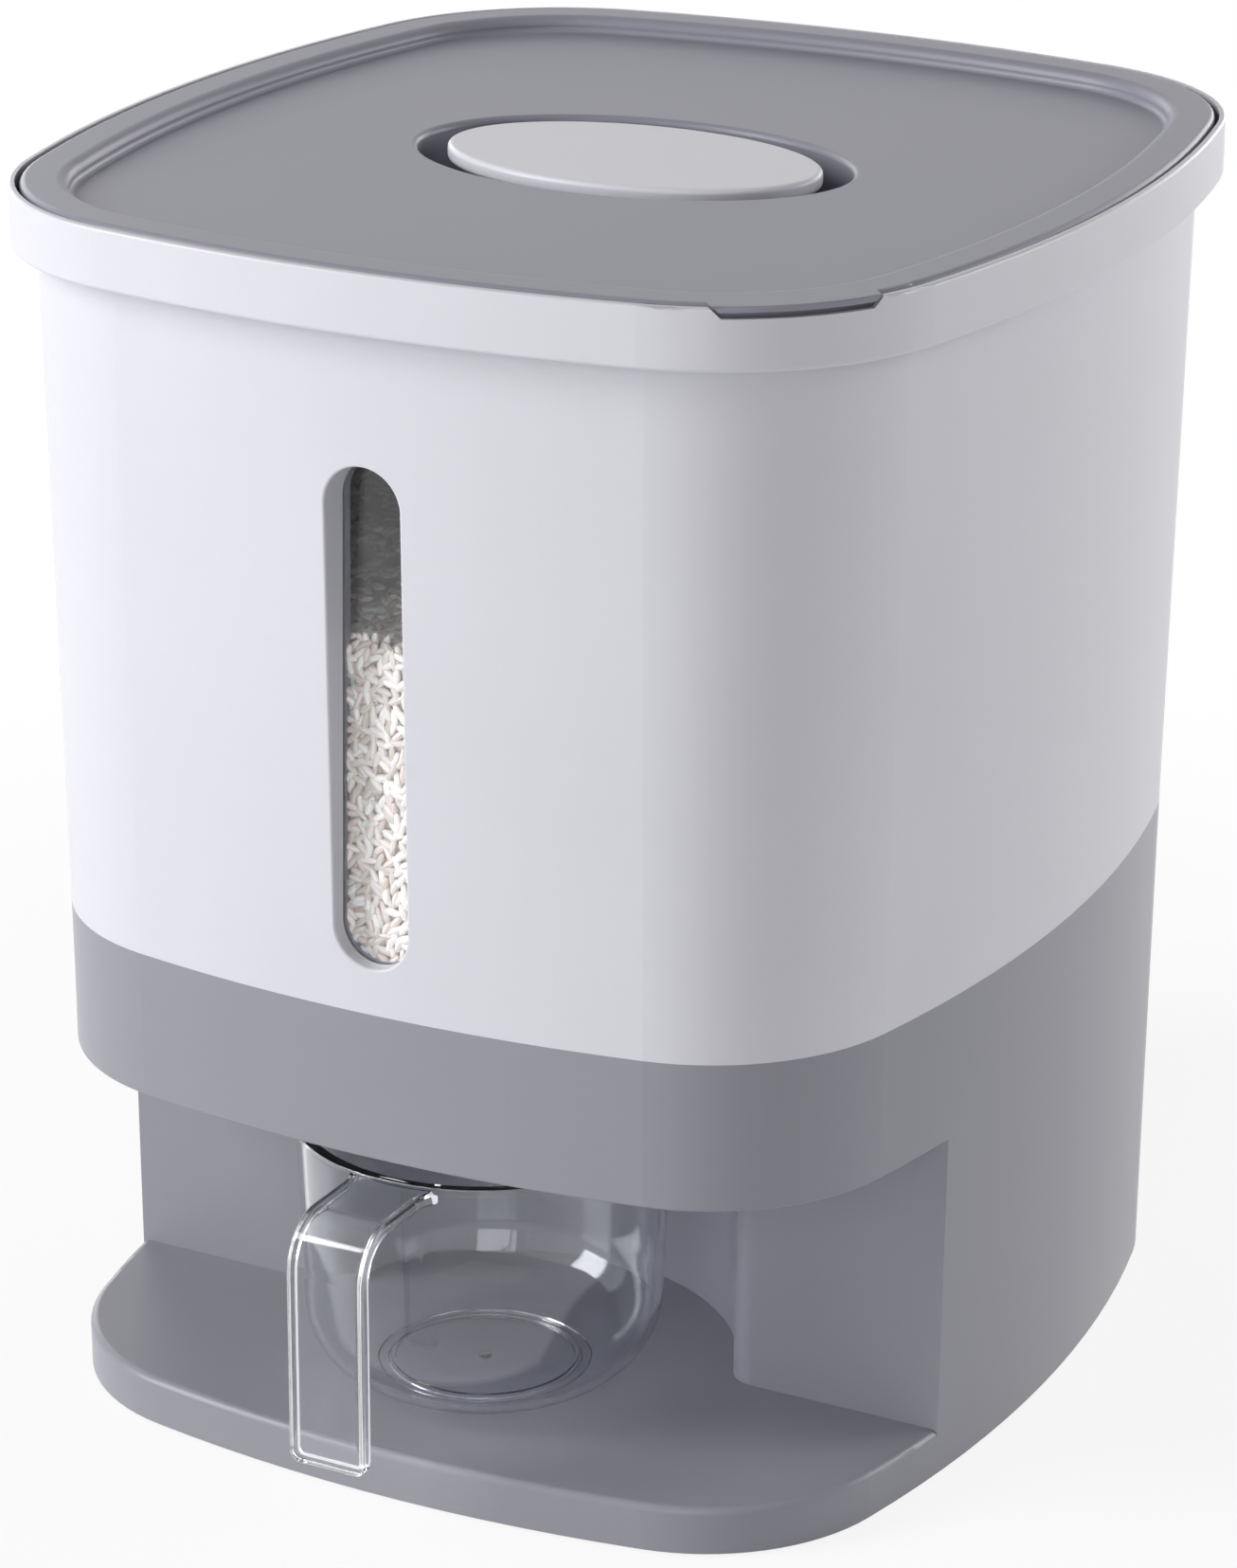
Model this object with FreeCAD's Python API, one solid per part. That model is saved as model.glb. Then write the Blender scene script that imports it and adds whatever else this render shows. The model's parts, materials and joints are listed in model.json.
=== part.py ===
import FreeCAD, Part
import math
import os

# Rice dispenser: a lidded bucket with a hopper stands on a base whose bay holds a measuring cup.
# Pushing the cup in slides a sprung gate back from the hopper's outlet; pulling it out shuts the gate.
# Millimetres. +X is right and -Y is the front as a user faces it, +Z is up.
# The origin is the centre of the base's underside, on the surface it stands on.

V = FreeCAD.Vector

# Outline of the foot: four long side arcs joined by four corner arcs
foot_half_width = 126.2
foot_half_depth = 137.6
side_radius = 400.0
corner_radius = 55.2

# How far the outline has grown beyond the foot's, at the joint, under the rim and at the rim
joint_growth = 1.4
rim_root_growth = 4.3
rim_growth = 11.2

# Heights of the shell above the surface it stands on
overall_height = 330.0
joint_height = 136.2
bay_ceiling = 96.4
tray_height = 13.7
shell_lift = 0.8
rim_skirt_depth = 16.0
ledge_depth = 10.4
rim_drop = 0.4

# Walls
base_wall = 2.5
bucket_wall = 2.4
deck_thickness = 3.0
tray_thickness = 2.5
ledge_thickness = 2.4
collar_wall = 1.6

# Edge rounding
tray_edge_round = 2.0
band_edge_round = 0.8
rim_edge_round = 0.7
skirt_edge_round = 1.2
slot_edge_round = 0.6

# Lap joint between bucket and base
tongue_thickness = 1.0
tongue_height = 3.0
tongue_clearance = 0.15

# Bay for the cup: a straight back wall with a round niche that leaves room round the cup
bay_depth = 78.0
niche_setback = 9.0
niche_room = 12.8
niche_corner_round = 8.0

# Window in the front of the bucket
window_half_width = 10.5
window_rise = 12.3
window_top_drop = 50.6
window_bottom_depth = 4.2
window_top_depth = 9.5
reveal_wall = 2.0
pane_margin = 6.0
pane_thickness = 2.0
window_gasket_thickness = 1.0
retainer_thickness = 2.5
socket_clearance = 0.25
socket_wall = 1.6

# Measuring cup
cup_setback = 55.6
cup_mouth_radius = 49.2
cup_knee_radius = 47.3
cup_knee_height = 23.0
cup_headroom = 8.4
cup_wall = 1.9
cup_lip = 1.0
cup_lip_height = 2.0
cup_corner_radius = 22.0
cup_foot_radius = 29.0
cup_foot_width = 3.0
cup_foot_height = 1.6
cup_floor_ring_radius = 24.5
cup_floor_ring_width = 1.2
cup_floor_ring_height = 0.5
cup_nub_radius = 1.6
cup_nub_height = 0.8
cup_clearance = 0.1

# Cup handle: a channel that leaves the lip level, turns down and ends above the tray
handle_half_width = 11.0
handle_flare = 2.6
handle_flare_length = 7.0
handle_reach = 33.5
handle_bend_radius = 14.0
handle_end_gap = 7.3
handle_web = 2.0
handle_flange_depth = 4.0
handle_flange_width = 1.9
handle_end_round = 3.0
handle_top_drop = 0.8

# Outlet, gate, guide and springs
outlet_half_width = 25.0
outlet_length = 46.0
outlet_relief = 2.0
gate_overlap = 4.0
gate_open_gap = 2.0
gate_side_overlap = 6.0
gate_thickness = 2.0
gate_gap = 0.3
gate_ear_length = 8.0
guide_roof = 0.8
guide_end_wall = 2.0
guide_side_wall = 2.7
guide_rib_width = 1.6
spring_radius = 1.8
spring_wire_radius = 0.3
spring_turns = 22
spring_bay_width = 8.4
spring_post_radius = 1.0
pusher_half_width = 10.0
pusher_depth = 6.0
pusher_reach = 4.0
slot_clearance = 0.6
guide_tab_length = 9.0
guide_tab_thickness = 3.0
guide_tab_inset = 9.0

# Hopper
hopper_wall = 2.2
hopper_clearance = 0.2
hopper_window_gap = 2.65
hopper_side_rise = 36.0
hopper_back_rise = 50.3
hopper_spout_height = 1.5
hopper_spout_flange = 5.0
outlet_seal_height = 1.5
outlet_seal_width = 4.0

# Lid
lid_gap = 1.2
lid_seat_gap = 0.1
lid_wall = 2.2
lid_skin = 2.4
lid_ring_width = 12.3
lid_panel_drop = 4.5
lid_edge_round = 1.6
lid_inner_round = 3.0
lid_skirt_wall = 2.0
plug_play = 1.5
plug_lip = 1.1
plug_groove_depth = 1.4
plug_groove_low = 5.0
lid_seal_height = 4.5
lid_seal_gap = 0.3

# Finger tab of the lid, in a notch of the rim at the front right corner
tab_direction = -46.0
tab_half_length = 21.6
tab_thickness = 1.5
tab_gap = 1.5
tab_end_gap = 0.9
tab_slope_length = 3.0
tab_edge_round = 0.6
tab_setback = 0.2

# Lid handle in its well
handle_plate_half_length = 52.2
handle_plate_half_width = 32.3
handle_plate_thickness = 4.5
handle_plate_proud = 0.5
handle_plate_round = 1.4
handle_stem_half_length = 36.0
handle_stem_half_width = 16.0
well_margin = 8.0
well_depth = 14.0
well_edge_round = 1.5
underplate_clearance = 0.3

# Screws: shank radius, head radius, head height, and the thread's bite
case_screw_shank = 1.9
case_screw_head = 3.8
case_screw_head_height = 2.6
case_screw_bite = 7.0
small_screw_shank = 1.45
small_screw_head = 2.9
small_screw_head_height = 1.4
small_screw_bite = 5.4
pusher_screw_shank = 1.0
pusher_screw_head = 2.0
pusher_screw_head_height = 0.8
pusher_screw_bite = 5.0
pusher_screw_spacing = 12.0
screw_hole_play = 0.25
pilot_play = 0.05
head_round_share = 0.4
tip_share = 0.3
cross_depth_share = 0.5
cross_width_share = 0.28
cross_length_share = 0.62
guide_screw_bite = 2.1
lid_screw_spacing = 43.2

# Bosses that join bucket and base
post_radius = 6.0
post_reach = 36.0
lug_radius = 6.8
lug_drop = 8.2
lug_height = 9.0
lug_rib_thickness = 3.0
lug_rib_rise = 7.0
lug_rib_gap = 0.6
head_recess = 5.0
head_recess_play = 0.6

# Bottom cover and rubber feet
cover_gap = 0.3
cover_rise = 1.8
cover_thickness = 2.5
cover_post_radius = 5.0
cover_side_screw_inset = 20.2
cover_side_screw_y = 70.0
cover_end_screw_inset = 12.6
rubber_foot_radius = 9.0
rubber_foot_recess = 0.8
rubber_foot_reach = 24.0
rubber_foot_round = 0.5

# Lengths by which a cutter runs past what it cuts, and by which joined solids sink into each other
past = 1.0
sink = 0.5

# Gap under which two shapes count as touching
touching = 0.001

# Values that follow from the ones above
side_centre_x = foot_half_width - side_radius
side_centre_y = foot_half_depth - side_radius
centre_distance = math.hypot(side_centre_x, side_centre_y)
corner_offset = math.sqrt((side_radius - corner_radius) ** 2 - (centre_distance / 2) ** 2)
corner_x = side_centre_x / 2 - corner_offset * side_centre_y / centre_distance
corner_y = side_centre_y / 2 - corner_offset * side_centre_x / centre_distance
side_angle = math.atan2(corner_y, corner_x - side_centre_x)
end_angle = math.atan2(corner_y - side_centre_y, corner_x)

rim_top = overall_height - rim_drop
rim_skirt_bottom = overall_height - rim_skirt_depth
ledge_top = overall_height - ledge_depth
lug_bottom = joint_height - lug_drop
window_bottom = joint_height + window_rise
window_top = overall_height - window_top_drop
socket_margin = pane_margin + socket_clearance + socket_wall
hopper_front_height = window_bottom - socket_margin - hopper_window_gap
cover_side_screw_x = foot_half_width - cover_side_screw_inset
cover_end_screw_y = foot_half_depth - cover_end_screw_inset
deck_top = bay_ceiling + deck_thickness
collar_inner_growth = rim_growth - collar_wall
lid_growth = collar_inner_growth - lid_gap
lid_panel_top = overall_height - lid_panel_drop
lid_panel_growth = lid_growth - lid_ring_width
lid_skirt_bottom = ledge_top + lid_seat_gap
well_floor = lid_panel_top - well_depth
well_underside = well_floor - lid_wall
underplate_bottom = well_underside - lid_wall
plug_bottom = underplate_bottom - plug_lip
cup_y = cup_setback - foot_half_depth
cup_bottom = tray_height + cup_clearance
cup_top = bay_ceiling - cup_headroom
handle_end_z = tray_height + handle_end_gap
bay_back_y = bay_depth - foot_half_depth
niche_centre_y = cup_y + niche_setback
niche_radius = cup_mouth_radius + cup_lip + niche_room
cup_back_y = cup_y + cup_mouth_radius + cup_lip
outlet_front_y = cup_y - outlet_length / 2
outlet_back_y = cup_y + outlet_length / 2
gate_half_width = outlet_half_width + gate_side_overlap
gate_length = outlet_length + 2 * gate_overlap
gate_travel = outlet_length + gate_overlap + gate_open_gap
gate_front_y = outlet_back_y + gate_open_gap
gate_back_y = gate_front_y + gate_length
gate_bottom = deck_top + gate_gap
gate_top = gate_bottom + gate_thickness
guide_front_y = gate_front_y - gate_travel - gate_open_gap - guide_end_wall
guide_back_y = gate_back_y + gate_overlap
guide_rib_outer = gate_half_width + gate_gap + guide_rib_width
guide_channel_half = guide_rib_outer + spring_bay_width
guide_half_width = guide_channel_half + guide_side_wall
spring_x = (guide_rib_outer + guide_channel_half) / 2
spring_z = gate_bottom + spring_radius + spring_wire_radius
spring_front_y = guide_front_y + guide_end_wall + gate_gap + 2 * spring_post_radius
spring_back_y = gate_back_y - gate_ear_length - 2 * spring_wire_radius
spring_bay_top = spring_z + spring_radius + spring_wire_radius + gate_gap
guide_top = spring_bay_top + guide_roof
hopper_bottom = guide_top + outlet_seal_height
pusher_front_y = cup_back_y + gate_gap
pusher_back_y = pusher_front_y + pusher_depth
pusher_bottom = cup_top - pusher_reach
bucket_draft_rate = (rim_root_growth - joint_growth) / (rim_skirt_bottom - joint_height)


def base_growth(height):
    """Growth of the base's outline at a height."""
    return joint_growth * height / joint_height


def bucket_growth(height):
    """Growth of the bucket's outline at a height."""
    return joint_growth + bucket_draft_rate * (height - joint_height)


def arc(centre_x, centre_y, radius, start, end, height):
    """Edge of a level arc between two angles in radians."""
    angles = (start, (start + end) / 2, end)
    points = [V(centre_x + radius * math.cos(a), centre_y + radius * math.sin(a), height) for a in angles]
    return Part.Arc(*points).toShape()


def outline(growth, height):
    """Wire of the rounded square that stands growth outside the foot's outline."""
    side = side_radius + growth
    corner = corner_radius + growth
    half_turn = math.pi
    edges = [
        arc(side_centre_x, 0, side, -side_angle, side_angle, height),
        arc(corner_x, corner_y, corner, side_angle, end_angle, height),
        arc(0, side_centre_y, side, end_angle, half_turn - end_angle, height),
        arc(-corner_x, corner_y, corner, half_turn - end_angle, half_turn - side_angle, height),
        arc(-side_centre_x, 0, side, half_turn - side_angle, half_turn + side_angle, height),
        arc(-corner_x, -corner_y, corner, half_turn + side_angle, half_turn + end_angle, height),
        arc(0, -side_centre_y, side, half_turn + end_angle, 2 * half_turn - end_angle, height),
        arc(corner_x, -corner_y, corner, -end_angle, -side_angle, height),
    ]
    return Part.Wire(edges)


def block(growth, low, high):
    """Upright block with the rounded square's outline."""
    return Part.Face(outline(growth, low)).extrude(V(0, 0, high - low))


def drafted_block(low_growth, low, high_growth, high):
    """Block whose outline grows evenly from one height to another."""
    return Part.makeLoft([outline(low_growth, low), outline(high_growth, high)], True, True)


def box(x_low, x_high, y_low, y_high, z_low, z_high):
    """Box between two corners."""
    return Part.makeBox(x_high - x_low, y_high - y_low, z_high - z_low, V(x_low, y_low, z_low))


def cylinder(radius, x, y, low, high):
    """Upright cylinder."""
    return Part.makeCylinder(radius, high - low, V(x, y, low))


def oval_block(half_length, half_width, low, high):
    """Upright block with an elliptic outline, centred on the axis."""
    ellipse = Part.Ellipse(V(0, 0, low), half_length, half_width).toShape()
    return Part.Face(Part.Wire(ellipse)).extrude(V(0, 0, high - low))


def polygon_block(points, direction):
    """Block made by pushing a flat polygon along a direction."""
    return Part.Face(Part.makePolygon(list(points) + [points[0]])).extrude(direction)


def join(first, others):
    """One solid from several that touch."""
    return first.fuse(list(others)).removeSplitter()


def level_edges(shape, height):
    """Edges of a shape that lie flat at a height."""
    return [
        edge for edge in shape.Edges
        if abs(edge.BoundBox.ZMin - height) < touching and abs(edge.BoundBox.ZMax - height) < touching
    ]


def middle_of(edge):
    """Point halfway along an edge."""
    return edge.valueAt((edge.FirstParameter + edge.LastParameter) / 2)


def on_outline(point, growth):
    """Whether a point lies on the outline with this growth."""
    return Part.Vertex(point).distToShape(outline(growth, point.z))[0] < touching


def outline_edges(shape, growth, height):
    """Level edges of a shape that lie on the outline with this growth."""
    return [edge for edge in level_edges(shape, height) if on_outline(middle_of(edge), growth)]


def corners(reach):
    """Four points on the diagonals through the outline's corner centres."""
    step = reach * math.sqrt(0.5)
    return [(sx * (corner_x + step), sy * (corner_y + step)) for sx in (-1, 1) for sy in (-1, 1)]


def screw(x, y, seat, head_radius, head_height, shank_radius, shank_length):
    """Cross-head screw whose head lies under its seat and whose shank points up."""
    head = cylinder(head_radius, x, y, seat - head_height, seat)
    rim = level_edges(head, seat - head_height)
    head = head.makeFillet(head_height * head_round_share, rim)
    tip_low = seat + shank_length - shank_radius
    shank = cylinder(shank_radius, x, y, seat - sink, tip_low)
    tip = Part.makeCone(shank_radius, shank_radius * tip_share, shank_radius, V(x, y, tip_low))
    depth = head_height * cross_depth_share
    length = head_radius * cross_length_share
    width = head_radius * cross_width_share / 2
    floor = seat - head_height - past
    cross = box(x - length, x + length, y - width, y + width, floor, floor + past + depth)
    cross = cross.fuse(box(x - width, x + width, y - length, y + length, floor, floor + past + depth))
    return join(head, [shank, tip]).cut(cross)


def bay_plan(offset, height):
    """Wire round the bay's plan, moved outward by offset: niche, two rounded corners, open front."""
    radius = niche_radius + offset
    rounding = niche_corner_round - offset
    wall_y = bay_back_y + offset
    round_y = wall_y + rounding
    round_x = math.sqrt((radius + rounding) ** 2 - (round_y - niche_centre_y) ** 2)
    share = radius / (radius + rounding)
    touch = V(round_x * share, niche_centre_y + (round_y - niche_centre_y) * share, height)
    start = math.atan2(touch.y - round_y, touch.x - round_x)
    middle = (start - math.pi / 2) / 2
    bend = V(round_x + rounding * math.cos(middle), round_y + rounding * math.sin(middle), height)
    line = V(round_x, wall_y, height)
    far_x = 2 * foot_half_width
    front_y = -2 * foot_half_depth

    def mirrored(point):
        return V(-point.x, point.y, point.z)

    outer = [line, V(far_x, wall_y, height), V(far_x, front_y, height)]
    outer += [mirrored(point) for point in reversed(outer)]
    edges = [Part.LineSegment(a, b).toShape() for a, b in zip(outer, outer[1:])]
    edges.append(Part.Arc(mirrored(line), mirrored(bend), mirrored(touch)).toShape())
    edges.append(Part.Arc(mirrored(touch), V(0, niche_centre_y + radius, height), touch).toShape())
    edges.append(Part.Arc(touch, bend, line).toShape())
    return Part.Wire(edges)


def bay_block(offset, low, high):
    """Upright block with the bay's plan."""
    return Part.Face(bay_plan(offset, low)).extrude(V(0, 0, high - low))


def cover_screw_places():
    """Places of the six screws of the bottom cover."""
    sides = [(sx * cover_side_screw_x, sy * cover_side_screw_y) for sx in (-1, 1) for sy in (-1, 1)]
    return sides + [(0, -cover_end_screw_y), (0, cover_end_screw_y)]


def guide_screw_places():
    """Places of the four screws of the gate guide."""
    x = guide_half_width + guide_tab_length / 2
    rows = (guide_front_y + guide_tab_inset, guide_back_y - guide_tab_inset)
    return [(side * x, y) for side in (-1, 1) for y in rows]


def make_base_shell():
    """Base: drafted wall, deck over the bay, bay wall with niche, and tray floor."""
    outer = drafted_block(base_growth(shell_lift), shell_lift, joint_growth, joint_height)
    upper = drafted_block(base_growth(deck_top) - base_wall, deck_top,
                          base_growth(joint_height + past) - base_wall, joint_height + past)
    rabbet_bottom = joint_height - tongue_height - tongue_clearance
    rabbet_growth = joint_growth - bucket_wall + tongue_thickness + tongue_clearance
    rabbet = block(rabbet_growth, rabbet_bottom, joint_height + past)
    under = drafted_block(base_growth(shell_lift - past) - base_wall, shell_lift - past,
                          base_growth(bay_ceiling) - base_wall, bay_ceiling)
    under = under.cut(bay_block(base_wall, tray_height - tray_thickness, bay_ceiling + past))
    bay = bay_block(0, tray_height, bay_ceiling)
    shell = outer.cut([upper, rabbet, under, bay])
    shell = shell.makeFillet(tray_edge_round, outline_edges(shell, base_growth(tray_height), tray_height))
    shell = shell.makeFillet(band_edge_round, outline_edges(shell, base_growth(bay_ceiling), bay_ceiling))
    posts = [cylinder(post_radius, x, y, deck_top - sink, lug_bottom) for x, y in corners(post_reach)]
    for x, y in cover_screw_places():
        in_tray = y < bay_back_y
        top = tray_height - tray_thickness if in_tray else bay_ceiling
        posts.append(cylinder(cover_post_radius, x, y, cover_rise + cover_thickness, top + sink))
    shell = join(shell, posts)
    outlet = box(-outlet_half_width - outlet_relief, outlet_half_width + outlet_relief,
                 outlet_front_y - outlet_relief, outlet_back_y + outlet_relief,
                 bay_ceiling - past, deck_top + past)
    pusher_slot = box(-pusher_half_width - slot_clearance, pusher_half_width + slot_clearance,
                      pusher_front_y - gate_travel - slot_clearance, pusher_back_y + slot_clearance,
                      bay_ceiling - past, deck_top + past)
    holes = [outlet, pusher_slot]
    for x, y in corners(post_reach):
        holes.append(cylinder(case_screw_shank + screw_hole_play, x, y,
                              bay_ceiling - past, lug_bottom + past))
        holes.append(cylinder(case_screw_head + head_recess_play, x, y,
                              bay_ceiling - past, bay_ceiling + head_recess))
    for x, y in cover_screw_places():
        seat = cover_rise + cover_thickness
        pilot_top = seat + small_screw_bite + sink
        holes.append(cylinder(small_screw_shank + pilot_play, x, y, seat - past, pilot_top))
    for x, y in guide_screw_places():
        pilot_bottom = deck_top - guide_screw_bite - screw_hole_play
        holes.append(cylinder(small_screw_shank + pilot_play, x, y, pilot_bottom, deck_top + past))
    return shell.cut(holes)


def make_base_bottom_cover():
    """Flat cover inside the base's lower edge, with screw holes and pockets for the feet."""
    growth = base_growth(shell_lift) - base_wall - cover_gap
    cover = block(growth, cover_rise, cover_rise + cover_thickness)
    holes = []
    for x, y in cover_screw_places():
        holes.append(cylinder(small_screw_shank + screw_hole_play, x, y, cover_rise - past,
                              cover_rise + cover_thickness + past))
    for x, y in corners(rubber_foot_reach) + [(0, 0)]:
        holes.append(cylinder(rubber_foot_radius, x, y, cover_rise - past, cover_rise + rubber_foot_recess))
    return cover.cut(holes)


def make_bottom_cover_screws():
    """Six screws that hold the bottom cover."""
    length = cover_thickness + small_screw_bite
    return Part.makeCompound([
        screw(x, y, cover_rise, small_screw_head, small_screw_head_height, small_screw_shank, length)
        for x, y in cover_screw_places()
    ])


def make_rubber_feet():
    """Four corner feet and one middle foot, set into the bottom cover."""
    feet = []
    for x, y in corners(rubber_foot_reach) + [(0, 0)]:
        foot = cylinder(rubber_foot_radius, x, y, 0, cover_rise + rubber_foot_recess)
        feet.append(foot.makeFillet(rubber_foot_round, level_edges(foot, 0)))
    return Part.makeCompound(feet)


def window_slot(margin, y_low, y_high):
    """Upright slot with round ends, the window's opening widened by a margin, pushed along Y."""
    half = window_half_width + margin
    low = window_bottom + window_half_width
    high = window_top - window_half_width
    edges = [
        Part.LineSegment(V(half, y_low, low), V(half, y_low, high)).toShape(),
        Part.Arc(V(half, y_low, high), V(0, y_low, high + half), V(-half, y_low, high)).toShape(),
        Part.LineSegment(V(-half, y_low, high), V(-half, y_low, low)).toShape(),
        Part.Arc(V(-half, y_low, low), V(0, y_low, low - half), V(half, y_low, low)).toShape(),
    ]
    return Part.Face(Part.Wire(edges)).extrude(V(0, y_high - y_low, 0))


def pane_y(height):
    """Where the pane's front face lies at a height; the pane leans back towards the top."""
    low_y = -foot_half_depth - bucket_growth(window_bottom) + window_bottom_depth
    high_y = -foot_half_depth - bucket_growth(window_top) + window_top_depth
    return low_y + (high_y - low_y) * (height - window_bottom) / (window_top - window_bottom)


def leaning_slab(near, far):
    """Slab parallel to the pane, between two distances behind its front face."""
    reach = socket_margin + past
    low = window_bottom - reach
    high = window_top + reach
    half = window_half_width + reach
    points = [
        V(-half, pane_y(low) + near, low),
        V(-half, pane_y(high) + near, high),
        V(-half, pane_y(high) + far, high),
        V(-half, pane_y(low) + far, low),
    ]
    return polygon_block(points, V(2 * half, 0, 0))


def window_piece(inner_margin, near, far):
    """Piece of the window's stack, with the pane's outline; inner_margin None leaves it whole."""
    front = -2 * foot_half_depth
    piece = window_slot(pane_margin, front, 0)
    if inner_margin is not None:
        piece = piece.cut(window_slot(inner_margin, front, 0))
    return piece.common(leaning_slab(near, far))


def make_window_pane():
    """Clear pane behind the window's reveal."""
    return window_piece(None, 0, pane_thickness)


def make_window_gasket():
    """Flat gasket between the reveal's end and the pane."""
    return window_piece(0, -window_gasket_thickness, 0)


def make_window_retainer():
    """Frame pushed into the socket behind the pane."""
    return window_piece(0, pane_thickness, pane_thickness + retainer_thickness)


def make_bucket_shell():
    """Bucket: drafted wall, lid ledge, turned-down collar with notch, window reveal, socket and lugs."""
    ledge_bottom = ledge_top - ledge_thickness
    outer = drafted_block(joint_growth, joint_height, bucket_growth(ledge_top), ledge_top)
    collar = block(rim_growth, rim_skirt_bottom, rim_top)
    collar = collar.makeFillet(rim_edge_round, level_edges(collar, rim_top))
    collar = collar.makeFillet(skirt_edge_round, level_edges(collar, rim_skirt_bottom))
    hollow = block(collar_inner_growth, rim_skirt_bottom - past, ledge_bottom)
    collar = collar.cut(hollow)
    recess = block(collar_inner_growth, ledge_top, rim_top + past)
    inner = drafted_block(bucket_growth(joint_height - past) - bucket_wall, joint_height - past,
                          bucket_growth(ledge_top + past) - bucket_wall, ledge_top + past)
    front = -2 * foot_half_depth
    opening = window_slot(0, front, 0)
    wall = outer.cut([inner, opening])
    wall = round_window_edge(wall)
    shell = join(wall, [collar.cut(inner)]).cut(recess)
    shell = shell.cut(tab_wedge(0, overall_height - tab_thickness - tab_gap, overall_height + past))
    reveal = window_slot(reveal_wall, front, 0).cut(opening)
    reveal = reveal.common(leaning_slab(-foot_half_depth, -window_gasket_thickness)).common(outer)
    socket = window_slot(socket_margin, front, 0)
    socket = socket.cut(window_slot(pane_margin + socket_clearance, front, 0))
    socket = socket.common(leaning_slab(-foot_half_depth, pane_thickness + retainer_thickness)).common(outer)
    reveal = reveal.cut(outside_of(bucket_wall / 2))
    socket = socket.cut(outside_of(bucket_wall / 2))
    tongue_low = joint_height - tongue_height
    tongue_high = joint_height + sink
    tongue = drafted_block(bucket_growth(tongue_low) - bucket_wall + tongue_thickness, tongue_low,
                           bucket_growth(tongue_high) - bucket_wall + tongue_thickness, tongue_high)
    tongue = tongue.cut(inner_block(tongue_low - past, joint_height + 2 * past))
    return join(shell, [reveal, socket, tongue] + make_lugs())


def inner_block(low, high):
    """Block that fills the inside of the bucket's wall."""
    return drafted_block(bucket_growth(low) - bucket_wall, low, bucket_growth(high) - bucket_wall, high)


def outside_of(depth):
    """Everything near the window that lies less than depth behind the bucket's outer face."""
    low = window_bottom - window_half_width - past
    high = window_top + window_half_width + past
    around = box(-foot_half_width, foot_half_width, -2 * foot_half_depth, 0, low, high)
    return around.cut(drafted_block(bucket_growth(low) - depth, low, bucket_growth(high) - depth, high))


def round_window_edge(wall):
    """Round the outer edge of the window's opening."""
    found = []
    for edge in wall.Edges:
        if edge.BoundBox.XMax > window_half_width + past or edge.BoundBox.XMin < -window_half_width - past:
            continue
        if edge.BoundBox.ZMin < window_bottom - past or edge.BoundBox.ZMax > window_top + past:
            continue
        middle = middle_of(edge)
        if middle.y < 0 and on_outline(middle, bucket_growth(middle.z)):
            found.append(edge)
    return wall.makeFillet(slot_edge_round, found)


def make_lugs():
    """Four screw lugs of the bucket, each on a rib from the wall."""
    lugs = []
    wall_reach = corner_radius + joint_growth - bucket_wall - post_reach
    for x, y in corners(post_reach):
        diagonal = math.degrees(math.atan2(math.copysign(1, y), math.copysign(1, x)))
        top = lug_bottom + lug_height
        rib_low = joint_height + lug_rib_gap
        half = lug_rib_thickness / 2
        inset = wall_reach - 2 * lug_rib_gap
        points = [
            V(0, -half, lug_bottom), V(inset, -half, lug_bottom), V(inset, -half, rib_low),
            V(wall_reach + bucket_wall / 2, -half, rib_low),
            V(wall_reach + bucket_wall / 2, -half, top + lug_rib_rise), V(0, -half, top),
        ]
        rib = polygon_block(points, V(0, lug_rib_thickness, 0))
        rib.rotate(V(0, 0, 0), V(0, 0, 1), diagonal)
        rib.translate(V(x, y, 0))
        lug = join(cylinder(lug_radius, x, y, lug_bottom, top), [rib])
        pilot_top = lug_bottom + case_screw_bite + sink
        lugs.append(lug.cut(cylinder(case_screw_shank + pilot_play, x, y, lug_bottom - past, pilot_top)))
    return lugs


def make_bucket_fixing_screws():
    """Four screws from under the deck through the base's posts into the bucket's lugs."""
    seat = bay_ceiling + head_recess
    length = lug_bottom - seat + case_screw_bite
    return Part.makeCompound([
        screw(x, y, seat, case_screw_head, case_screw_head_height, case_screw_shank, length)
        for x, y in corners(post_reach)
    ])


def funnel(bottom, side_step, far):
    """Four-sided funnel above the outlet, its sides moved out by side_step, up to a height."""
    spout_top = hopper_bottom + hopper_spout_height
    wall_x = foot_half_width - bucket_wall
    wall_y = foot_half_depth - bucket_wall
    rise = far - bottom
    side = rise * (wall_x - outlet_half_width) / (joint_height + hopper_side_rise - spout_top)
    back = rise * (wall_y - outlet_back_y) / (joint_height + hopper_back_rise - spout_top)
    front = rise * (wall_y + outlet_front_y) / (hopper_front_height - spout_top)
    half = outlet_half_width + side_step

    def ring(grow_side, grow_front, grow_back, height):
        corners_ = [
            V(-half - grow_side, outlet_front_y - side_step - grow_front, height),
            V(half + grow_side, outlet_front_y - side_step - grow_front, height),
            V(half + grow_side, outlet_back_y + side_step + grow_back, height),
            V(-half - grow_side, outlet_back_y + side_step + grow_back, height),
        ]
        return Part.makePolygon(corners_ + [corners_[0]])

    return Part.makeLoft([ring(0, 0, 0, bottom), ring(side, front, back, far)], True, True)


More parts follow.
